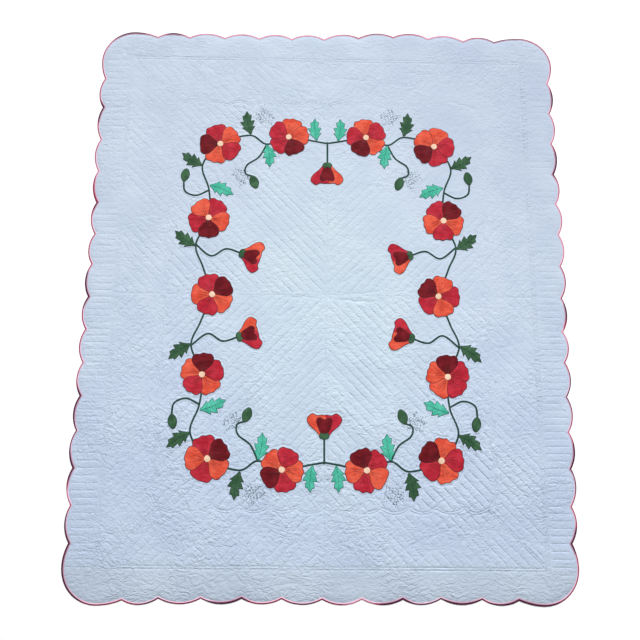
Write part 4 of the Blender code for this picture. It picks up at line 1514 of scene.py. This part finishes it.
def store(piece, label, values):
    """Keep a value with each corner of a piece, for its material."""
    kept = piece.data.attributes.new(label, "FLOAT", "POINT")
    kept.data.foreach_set("value", np.ascontiguousarray(values, dtype=np.float32))


def make_sheet(name, material, fineness, height_of, face_up):
    """A cloth that fills the quilt's outline, with how far it is sunk at each corner."""
    outline = inset_loop(edge, TOP_INSET)[::fineness.edge_step]
    rows = [inset_loop(edge, BINDING_WIDTH + more)[::fineness.edge_step] for more in BINDING_ROWS]
    points = cloth_points(fineness)
    clear = near_edge(points) > BINDING_WIDTH + BINDING_CLEAR
    points = points[inside_in_parts(points, edge) & clear]
    places, faces = triangles_inside(np.vstack([outline, *rows, points]), len(outline))
    marks = Marks(places)
    crown = marks.crowned()
    sheet = Stock()
    sheet.add(np.column_stack([places, height_of(places, marks, crown)]),
              faces if face_up else faces[:, ::-1])
    piece = finish_piece(name, sheet, [material], ["quilt_body"])
    store(piece, "sunk", 1.0 - crown)
    return piece


def stored(place, label):
    """The value that a piece keeps with its corners."""
    node = new_node("ShaderNodeAttribute", place)
    node.attribute_name = label
    return node.outputs["Fac"]


SQUARE_ROOT_OF_HALF = 0.7071
# Creases that quilting draws up: square to its lines, level across the quilt, and fine ones.
# Each kind has its clouds to the metre, how it is squeezed across, and how a swirl bends it.
PULL_SWIRL, PULL_SHARPNESS = (22.0, 2.0), 0.52
SQUARE_PULLS, SQUARE_SQUEEZE, SQUARE_BEND = 62.0, (0.36, 1.0, 1.0), (0.020, 0.030, 0.0)
LEVEL_PULLS, LEVEL_SQUEEZE, LEVEL_BEND = 50.0, (0.58, 1.0, 1.0), (0.030, 0.050, 0.0)
FINE_PULLS, FINE_SQUEEZE = 110.0, (1.5, 1.0, 1.0)
# Their strengths between two heights of Y, the second near the foot, and between two places in X.
TOWARDS_FOOT = (0.20, -0.85)
SQUARE_SHARE, FINE_SHARES, PULLS_STRONGER = 0.50, (0.22, 0.42), (0.90, 1.58)
PULLS_SLACKER = (0.10, 0.65, 1.0, 0.86)
PULL_PATCHES, PATCHES_PULLED = (4.5, 1.0), (0.35, 0.65, 0.55, 1.15)
HELD_BY_RIBS = 0.15
# The small puckers begin, and are full, at these distances from the frame line, and grow from
# left to right.
PUCKERS_NEAR, PUCKERS_STRENGTH, PUCKERS_GROW = (0.014, 0.006), 2.0, (-0.9, 0.9, 0.45, 1.05)
FRAME_PUCKERS, PUCKERS_SQUEEZE = (120.0, 1.0), (1.3, 1.0, 1.0)


def make_quilted_pulls():
    """Small creases that quilting draws up between its lines and square to them, in the field
    and the border, with small puckers beside the frame line. They are strongest at the foot."""
    tree, takes, gives = recipe("quilted pulls", {"Place": "Vector"}, {"Height": "Float"})
    place = takes["Place"]
    x, y = x_and_y(place)
    far_x, far_y = reckon("ABSOLUTE", x), reckon("ABSOLUTE", y)
    outward = reckon("SUBTRACT", far_x, far_y)
    swirl = cloudy(place, *PULL_SWIRL, "Color")

    def joined(first, second):
        node = new_node("ShaderNodeCombineXYZ", first)
        feed(node.inputs[0], first)
        feed(node.inputs[1], second)
        return node.outputs[0]

    def product(first, *others):
        for other in others:
            first = reckon("MULTIPLY", first, other)
        return first

    def bent(start, squeeze, bend):
        return on_places("ADD", on_places("MULTIPLY", start, squeeze),
                         on_places("MULTIPLY", swirl, bend))

    def creases(start, scale):
        from_middle = reckon("MULTIPLY_ADD", cloudy(start, scale, 1.0), 2.0, -1.0)
        return reckon("POWER", reckon("ABSOLUTE", from_middle), PULL_SHARPNESS)

    # Each vector holds the place across the nearest lines of quilting, then along them.
    diagonal = joined(product(outward, SQUARE_ROOT_OF_HALF),
                      product(reckon("ADD", far_x, far_y), SQUARE_ROOT_OF_HALF))
    on_side = reckon("GREATER_THAN", outward, FRAME_X - FRAME_Y)
    ribbed = blended(on_side, joined(x, y), joined(y, x), kind="VECTOR")
    in_border = reckon("MAXIMUM", reckon("GREATER_THAN", far_x, FRAME_X),
                       reckon("GREATER_THAN", far_y, FRAME_Y))
    pulled = blended(in_border, diagonal, ribbed, kind="VECTOR")
    square = creases(bent(pulled, SQUARE_SQUEEZE, SQUARE_BEND), SQUARE_PULLS)
    level = bent(place, LEVEL_SQUEEZE, LEVEL_BEND)
    fine = creases(on_places("MULTIPLY", level, FINE_SQUEEZE), FINE_PULLS)
    both = reckon("MULTIPLY_ADD", square, SQUARE_SHARE, creases(level, LEVEL_PULLS))
    folds = reckon("MULTIPLY_ADD", fine, spread(y, *TOWARDS_FOOT, *FINE_SHARES), both)
    patches = spread(cloudy(place, *PULL_PATCHES), *PATCHES_PULLED)
    stronger = spread(y, *TOWARDS_FOOT, *PULLS_STRONGER)
    slacker = spread(x, *PULLS_SLACKER)
    # The side borders are held a little flatter by their ribs, and the double line between them
    # and the field draws up small puckers.
    held = reckon("MULTIPLY_ADD", product(on_side, in_border), -HELD_BY_RIBS, 1.0)
    every = product(folds, product(patches, stronger, slacker, held))
    off_frame = reckon("ABSOLUTE", reckon("SUBTRACT", far_x, FRAME_X))
    beside_frame = product(spread(off_frame, *PUCKERS_NEAR), reckon("LESS_THAN", far_y, FRAME_Y),
                           PUCKERS_STRENGTH)
    crimped = cloudy(on_places("MULTIPLY", level, PUCKERS_SQUEEZE), *FRAME_PUCKERS)
    puckers = product(spread(x, *PUCKERS_GROW), patches, crimped)
    feed(gives["Height"], reckon("MULTIPLY_ADD", puckers, beside_frame, every))
    return tree


QUILTED_PULLS = make_quilted_pulls()

# Bands across the quilt that take another colour, between two heights of Y: towards the foot the
# cloth is bluer, and the border at the foot is darker and greyer.
Band = namedtuple("Band", "none_at full_at colour")
TINTED_BANDS = (Band(0.5, -0.8, (0.985, 1.000, 1.052, 1.0)),
                Band(-1.02, -1.10, (0.955, 0.955, 0.910, 1.0)))
# Round areas of painted light and shade: the middle is painted lighter and greener, as a pool
# of light, and the corner at the upper right is painted darker, as shade. They fade out between
# these shares of their reach.
Tinted = namedtuple("Tinted", "x y reach_x reach_y colour")
PAINTED_LIGHT_AND_SHADE = (Tinted(0.00, -0.12, 0.56, 0.86, (1.030, 1.052, 0.988, 1.0)),
                Tinted(1.00, 1.10, 0.95, 0.80, (0.936, 0.930, 0.962, 1.0)))
TINT_NONE, TINT_FULL = 1.15, 0.35
# Painted shade: where the cloth is sunk along the lines of quilting, its colour is mixed this far
# towards a deeper blue.
SHADED_GROOVE, GROOVE_SHADE = (0.42, 0.50, 0.61, 1.0), 0.30
GROUND_DYE_PATCHES, GROUND_THREADS = 5.0, 1500.0
GROUND_ROUGHNESS, GROUND_SHEEN, GROUND_SPECULAR = (0.95, 0.82), 0.10, 0.2
# The creases stand higher where the cloth is sunk.
HIGHER_IN_GROOVES = (0.0, 0.8, 0.85, 1.15)


def quilt_cotton(name, dye, worn, crinkle):
    """The ground cloth: softly crinkled by washing, most of all beside the quilting."""
    material, shader, place, colour = dyed_material(name, dye, worn, GROUND_DYE_PATCHES)
    sunk = stored(place, "sunk")
    _, y = x_and_y(place)
    for band in TINTED_BANDS:
        colour = blended(spread(y, band.none_at, band.full_at), colour, band.colour, "MULTIPLY")
    # Painted light in the middle and painted shade at the upper right corner.
    for area in PAINTED_LIGHT_AND_SHADE:
        reach = (1.0 / area.reach_x, 1.0 / area.reach_y, 0.0)
        away = on_places("DISTANCE", on_places("MULTIPLY", place, reach),
                         (area.x / area.reach_x, area.y / area.reach_y, 0.0), "Value")
        colour = blended(spread(away, TINT_NONE, TINT_FULL), colour, area.colour, "MULTIPLY")
    # Painted shade in the grooves of the quilting.
    shaded = blended(reckon("MULTIPLY", sunk, GROOVE_SHADE), colour, SHADED_GROOVE)
    threads = placed_recipe(PLAIN_WEAVE, Place=place, Threads=GROUND_THREADS)
    folds = placed_recipe(QUILTED_PULLS, Place=place)
    deep = reckon("MULTIPLY", folds, spread(sunk, *HIGHER_IN_GROOVES))
    feed(shader["Base Color"], shaded)
    feed(shader["Roughness"], spread(threads, 0.0, 1.0, *GROUND_ROUGHNESS))
    feed(shader["Normal"],
         bumped(threads, THREADS_PROUD, WEAVE_STRENGTH, under=bumped(deep, crinkle)))
    shader["Sheen Weight"].default_value = GROUND_SHEEN
    shader["Specular IOR Level"].default_value = GROUND_SPECULAR
    return material


ICE_COTTON = quilt_cotton("ice_blue_cotton", (0.446, 0.518, 0.632), (0.492, 0.568, 0.664),
                          crinkle=0.0018)
quilt_top = make_sheet("quilt_top", ICE_COTTON, TOP_FINENESS, cloth_height, face_up=True)


# ========================================
# Quilting stitches: pale blue cotton thread, in short running stitches at about 6 mm, pulled
# down into the cloth along every line of quilting.
# ========================================

STITCH_PITCH = 0.0062
STITCH_LENGTH = 0.0034
STITCH_WIDTH = 0.0009
STITCH_SEED, STITCH_UNEVEN, STITCH_SCATTER = 900, (0.75, 1.15), 0.0003
STITCH_RISE, STITCH_PROUD = 0.00025, 0.45
WAVE_STEP = 0.01
MITRE_SEAM = (-0.16, 0.09)
# Where stitches of one line begin, clear of another line or of the binding.
OFF_MIDDLE, OFF_FRAME, OFF_MITRE, OFF_BINDING = 0.003, 0.004, 0.006, 0.003
ECHO_SPACING, ECHO_STRAYS = 0.8 * STITCH_PITCH, 0.0006
QUILTING_THREAD = thread("quilting_thread", (0.540, 0.620, 0.710), (0.640, 0.700, 0.760),
                          roughness=0.6)


def along_curves(curves, offset, closed=True):
    """Middles and directions of stitches along curves, at an offset to their left."""
    middles, ways = [], []
    for curve in curves:
        points = even_points(curve, STITCH_PITCH, closed)
        sides = left_of(points, closed)
        middles.append(points + sides * offset)
        ways.append(np.stack([sides[:, 1], -sides[:, 0]], 1))
    return np.vstack(middles), np.vstack(ways)


def field_stitches():
    """Stitches of the diagonals in each quarter, and of the two middle lines."""
    base = diagonal_places(DIAGONALS, STITCH_PITCH, OFF_MIDDLE)
    middles = [base * quarter for quarter in QUARTERS]
    ways = [np.tile(np.array(quarter) / math.sqrt(2.0), (len(base), 1)) for quarter in QUARTERS]
    for axis, reach in (((1.0, 0.0), FRAME_X), ((0.0, 1.0), FRAME_Y)):
        at = np.arange(-reach, reach, STITCH_PITCH)[:, None]
        middles.append(at * axis)
        ways.append(np.tile(axis, (len(at), 1)))
    middles, ways = np.vstack(middles), np.vstack(ways)
    marks = Marks(middles)
    keep = ((marks.sewn > ECHO_GAP) & (marks.garland > GARLAND_GAP) & (marks.frame > FRAME_GAP)
            & (marks.wave > WAVE_GAP))
    return middles[keep], ways[keep]


def short_of_binding(middles, ways):
    keep = near_edge(middles) > BINDING_WIDTH + OFF_BINDING
    return middles[keep], ways[keep]


def border_stitches():
    """Stitches of the ribs, from the frame line to the binding."""
    middles, ways = [], []
    for name, places in RIBS.items():
        points = rib_points(name, places, FRAME_GAP, OFF_FRAME, STITCH_PITCH, OFF_MITRE)
        middles.append(points[inside_in_parts(points, edge)])
        ways.append(np.tile((1.0, 0.0) if is_upright(name) else (0.0, 1.0), (len(middles[-1]), 1)))
    return short_of_binding(np.vstack(middles), np.vstack(ways))


def line_stitches():
    """Stitches of all the double lines."""
    runs = [along_curves(curves, hand * gap, closed)
            for curves, gap, closed in (*double_lines(WAVE_STEP),
                                        (mitres(MITRE_SEAM), CORNER_GAP, False))
            for hand in (-1, 1)]
    return short_of_binding(*(np.vstack(part) for part in zip(*runs)))


def echo_stitches():
    """Stitches of the line that follows the edges of everything sewn on."""
    runs = [along_curves(sewn_outlines, hand * ECHO_GAP) for hand in (-1, 1)]
    middles, ways = (np.vstack(part) for part in zip(*runs))
    keep = near_sewn(middles) > ECHO_GAP - ECHO_STRAYS
    middles, ways = middles[keep], ways[keep]
    first = first_in_cells(middles, ECHO_SPACING)
    return middles[first], ways[first]


for name, runs in (("field_quilting", (field_stitches(), echo_stitches())),
                   ("border_quilting", (border_stitches(), line_stitches()))):
    sewing = Stock()
    for middles, ways in runs:
        hand = np.random.default_rng(STITCH_SEED + len(middles))
        half = 0.5 * STITCH_LENGTH * hand.uniform(*STITCH_UNEVEN, (len(middles), 1))
        middles = middles + hand.normal(0.0, STITCH_SCATTER, middles.shape)
        marks = Marks(middles)
        height = cloth_height(middles, marks, marks.crowned()) + STITCH_RISE
        add_stitches(sewing, middles - ways * half, middles + ways * half, height, height,
                     STITCH_WIDTH, proud=STITCH_PROUD)
    finish_piece(name, sewing, [QUILTING_THREAD], [])


# ========================================
# Quilt back: plain cotton of the same blue, lying on the surface and drawn up a little
# wherever the quilting comes through.
# ========================================

BACK_LOW = 0.0003
BACK_DRAWN_UP = 0.0006
BACK_EDGE, BACK_EDGE_FALLS = 0.0012, 0.006
BACK_FINENESS = Fineness(0.0180, 0.0155, 4, False)


def back_height(places, marks, crown):
    drawn = BACK_LOW + BACK_DRAWN_UP * (1.0 - crown)
    swell = 1.0 - np.exp(-np.maximum(marks.edge - BINDING_WIDTH, 0.0) / BACK_EDGE_FALLS)
    return BACK_EDGE + (drawn - BACK_EDGE) * swell


BACK_COTTON = quilt_cotton("back_cotton", (0.560, 0.640, 0.760), (0.600, 0.680, 0.800), crinkle=0.0008)
quilt_back = make_sheet("quilt_back", BACK_COTTON, BACK_FINENESS, back_height, face_up=False)


# ========================================
# Binding: a narrow bias strip of rose cotton folded over the raw edge and sewn down on both
# faces. It has taken its dye, and faded, in stretches from pink to dark red.
# ========================================

# The stretches that have kept the most dye: where their middles are, and how far they reach.
Stretch = namedtuple("Stretch", "x y reach")
DARK_STRETCHES = (
    Stretch(-0.88, 1.18, 0.08), Stretch(-0.69, 1.18, 0.04), Stretch(-0.98, 0.80, 0.06),
    Stretch(-0.98, 0.42, 0.09), Stretch(-0.99, 0.02, 0.08), Stretch(-0.98, -0.46, 0.09),
    Stretch(-0.99, -0.70, 0.08), Stretch(-0.98, -1.05, 0.17), Stretch(-0.36, -1.19, 0.08),
    Stretch(0.27, -1.19, 0.07), Stretch(0.53, -1.19, 0.08), Stretch(0.78, -1.19, 0.14),
    Stretch(0.97, -0.95, 0.06), Stretch(0.99, -0.64, 0.06), Stretch(1.00, -0.08, 0.06),
    Stretch(0.99, 0.60, 0.08), Stretch(0.98, 0.90, 0.05))

# Across the folded strip: how far in from the edge, and how high.
Fold = namedtuple("Fold", "inset height")
BINDING_FOLDS = (
    Fold(0.0080, 0.0018), Fold(0.0077, 0.0025), Fold(0.0060, 0.0028), Fold(0.0044, 0.0027),
    Fold(0.0025, 0.0025), Fold(0.0011, 0.0020), Fold(0.0002, 0.0014), Fold(0.0001, 0.0009),
    Fold(0.0010, 0.0004), Fold(0.0030, 0.0002), Fold(0.0062, 0.0002), Fold(0.0072, 0.0009))
FACE_ABOVE = 0.001
BINDING_PUCKERS = (Waver(0.014, 0.014, 0.00020, 71),)
# Where the strip was turned further over the face, it is wider and stands a little higher.
TURNED_FURTHER, TURNED_HIGHER = 0.45, 0.0005
# Between the cusps the strip took a little more dye; from this share up it was turned further.
DYE_FROM_CUSP, DYE_GROWS, DYE_BETWEEN_CUSPS = 0.012, 0.040, 0.20
TURNED_FROM = 0.25
# A painted highlight lightens the strip along its seam, from this far in from the edge, but less
# so on the dark stretches.
SEAM_FROM, SEAM_GROWS, SEAM_PALEST, SEAM_DARKER = 0.0046, 0.0014, 0.9, 0.4
PINK, PLUM = (0.540, 0.200, 0.290, 1.0), (0.066, 0.004, 0.034, 1.0)
# The pale pink of the painted highlight along the seam.
SEAM_HIGHLIGHT_PINK = (0.800, 0.500, 0.640, 1.0)
# Cloudy patches, a little darker to the foot, are lowered where dye was kept. The strip is pink
# above, and plum below, the values between which each is reached.
DYE_CLOUDS, DARKER_TO_FOOT, KEPT_DYE = (3.2, 1.0), (-1.1, 1.1, -0.05, 0.06), 0.30
PINK_REACHED, PLUM_REACHED = (0.47, 0.60), (0.40, 0.31)


def in_stretches(place, rose):
    """Plum where the strip has kept its dye, pink elsewhere, with a pale pink painted highlight along
    its seam.
    """
    _, y = x_and_y(place)
    patches = reckon("ADD", cloudy(place, *DYE_CLOUDS), spread(y, *DARKER_TO_FOOT))
    worn = reckon("MULTIPLY_ADD", stored(place, "dyed"), -KEPT_DYE, patches)
    pale = blended(spread(worn, *PINK_REACHED), rose, PINK)
    dark = blended(spread(worn, *PLUM_REACHED), pale, PLUM)
    # A painted highlight, pale pink, along the seam.
    return blended(stored(place, "pale_share"), dark, SEAM_HIGHLIGHT_PINK)


ROSE_COTTON = cotton("rose_binding", (0.220, 0.007, 0.038), (0.310, 0.017, 0.074), crinkle=0.0006,
                     marked=in_stretches)

# The cusps are the only corners of the edge that turn back towards the middle of the quilt.
before, after = edge - np.roll(edge, 1, axis=0), np.roll(edge, -1, axis=0) - edge
cusps = edge[before[:, 0] * after[:, 1] - before[:, 1] * after[:, 0] < 0.0]
from_cusp = np.sqrt(((edge[:, None] - cusps[None]) ** 2).sum(2).min(1))
dyed = DYE_BETWEEN_CUSPS * np.clip((from_cusp - DYE_FROM_CUSP) / DYE_GROWS, 0.0, 1.0)
for stretch in DARK_STRETCHES:
    away = np.hypot(edge[:, 0] - stretch.x, edge[:, 1] - stretch.y) / stretch.reach
    dyed = np.maximum(dyed, np.exp(-away ** 4))
turned = np.clip((dyed - TURNED_FROM) / (1.0 - TURNED_FROM), 0.0, 1.0)

strip = Stock()
rows, pale_share = [], []
for fold in BINDING_FOLDS:
    on_face = fold.height > FACE_ABOVE
    width = fold.inset * (1.0 + TURNED_FURTHER * turned * on_face)
    ripple = (uneven(edge, BINDING_PUCKERS) + TURNED_HIGHER * turned) * on_face
    rows.append(np.column_stack([inset_loop(edge, width[:, None]), fold.height + ripple]))
    # The share of the painted highlight along the seam, on the inner part of the face.
    pale = np.clip((fold.inset - SEAM_FROM) / SEAM_GROWS, 0.0, SEAM_PALEST)
    pale_share.append(pale * (1.0 - SEAM_DARKER * turned))
strip.add_grid(rows, closed=True)
binding = finish_piece("edge_binding", strip, [ROSE_COTTON], ["binding"])
store(binding, "pale_share", np.concatenate(pale_share))
store(binding, "dyed", np.tile(dyed, len(rows)))

# The pieces sewn on: every mesh made here but the top and the back.
sewn_on = [piece for piece in bpy.context.scene.objects
           if piece.type == "MESH" and "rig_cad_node" not in piece
           and piece not in (quilt_top, quilt_back)]


# ========================================
# The room: a plain pale floor, a large soft light that slants in from the head end, a weak one
# overhead, and the camera, which looks down on the quilt from a little towards its foot.
# ========================================

FLOOR_REACH = 30.0
FLOOR_COLOUR, FLOOR_ROUGHNESS = (0.96, 0.96, 0.96, 1.0), 0.9
KEY_BEARING, KEY_ELEVATION, KEY_DISTANCE = math.radians(82.0), math.radians(32.0), 30.0
KEY_SIZE, KEY_POWER = 10.5, 12300.0
FILL_HEIGHT, FILL_SIZE, FILL_POWER = 2.4, 1.2, 18.8
SKY_COLOUR, SKY_STRENGTH = (1.0, 1.0, 1.0, 1.0), 0.28
CAMERA_PLACE = (-0.0424, -0.4292, 2.1170)
# How it is turned from looking straight down, about X, Y and Z, in degrees.
CAMERA_TURNS = (8.7604, -0.6156, 0.5901)
CAMERA_LENS, CAMERA_FILM = 29.25, 36.0


def placed_in_scene(name, data):
    thing = bpy.data.objects.new(name, data)
    bpy.context.scene.collection.objects.link(thing)
    return thing


def round_light(name, size, power):
    light = bpy.data.lights.new(name, "AREA")
    light.shape = "DISK"
    light.size = size
    light.energy = power
    return placed_in_scene(name, light)


floor_mesh = bpy.data.meshes.new("floor")
floor_mesh.from_pydata([(FLOOR_REACH * x, FLOOR_REACH * y, 0.0)
                        for x, y in ((-1, -1), (1, -1), (1, 1), (-1, 1))], [], [(0, 1, 2, 3)])
placed_in_scene("floor", floor_mesh)
paper = bpy.data.materials.new("pale_floor")
paper.use_nodes = True
paper_shader = paper.node_tree.nodes["Principled BSDF"]
paper_shader.inputs["Base Color"].default_value = FLOOR_COLOUR
paper_shader.inputs["Roughness"].default_value = FLOOR_ROUGHNESS
floor_mesh.materials.append(paper)

toward = Vector((math.cos(KEY_BEARING) * math.cos(KEY_ELEVATION),
                 math.sin(KEY_BEARING) * math.cos(KEY_ELEVATION), math.sin(KEY_ELEVATION)))
key_lamp = round_light("soft_key", KEY_SIZE, KEY_POWER)
key_lamp.location = toward * KEY_DISTANCE
key_lamp.rotation_euler = toward.to_track_quat("Z", "Y").to_euler()
round_light("soft_fill", FILL_SIZE, FILL_POWER).location = (0.0, 0.0, FILL_HEIGHT)

world = bpy.data.worlds.new("pale_room")
world.use_nodes = True
sky = world.node_tree.nodes["Background"]
sky.inputs["Color"].default_value = SKY_COLOUR
sky.inputs["Strength"].default_value = SKY_STRENGTH
bpy.context.scene.world = world
bpy.context.scene.view_settings.view_transform = "Standard"

camera_data = bpy.data.cameras.new("camera")
camera_data.lens = CAMERA_LENS
camera_data.sensor_width = CAMERA_FILM
camera = placed_in_scene("camera", camera_data)
camera.location = CAMERA_PLACE
camera.rotation_euler = [math.radians(turn) for turn in CAMERA_TURNS]
bpy.context.scene.camera = camera

bpy.context.view_layer.update()
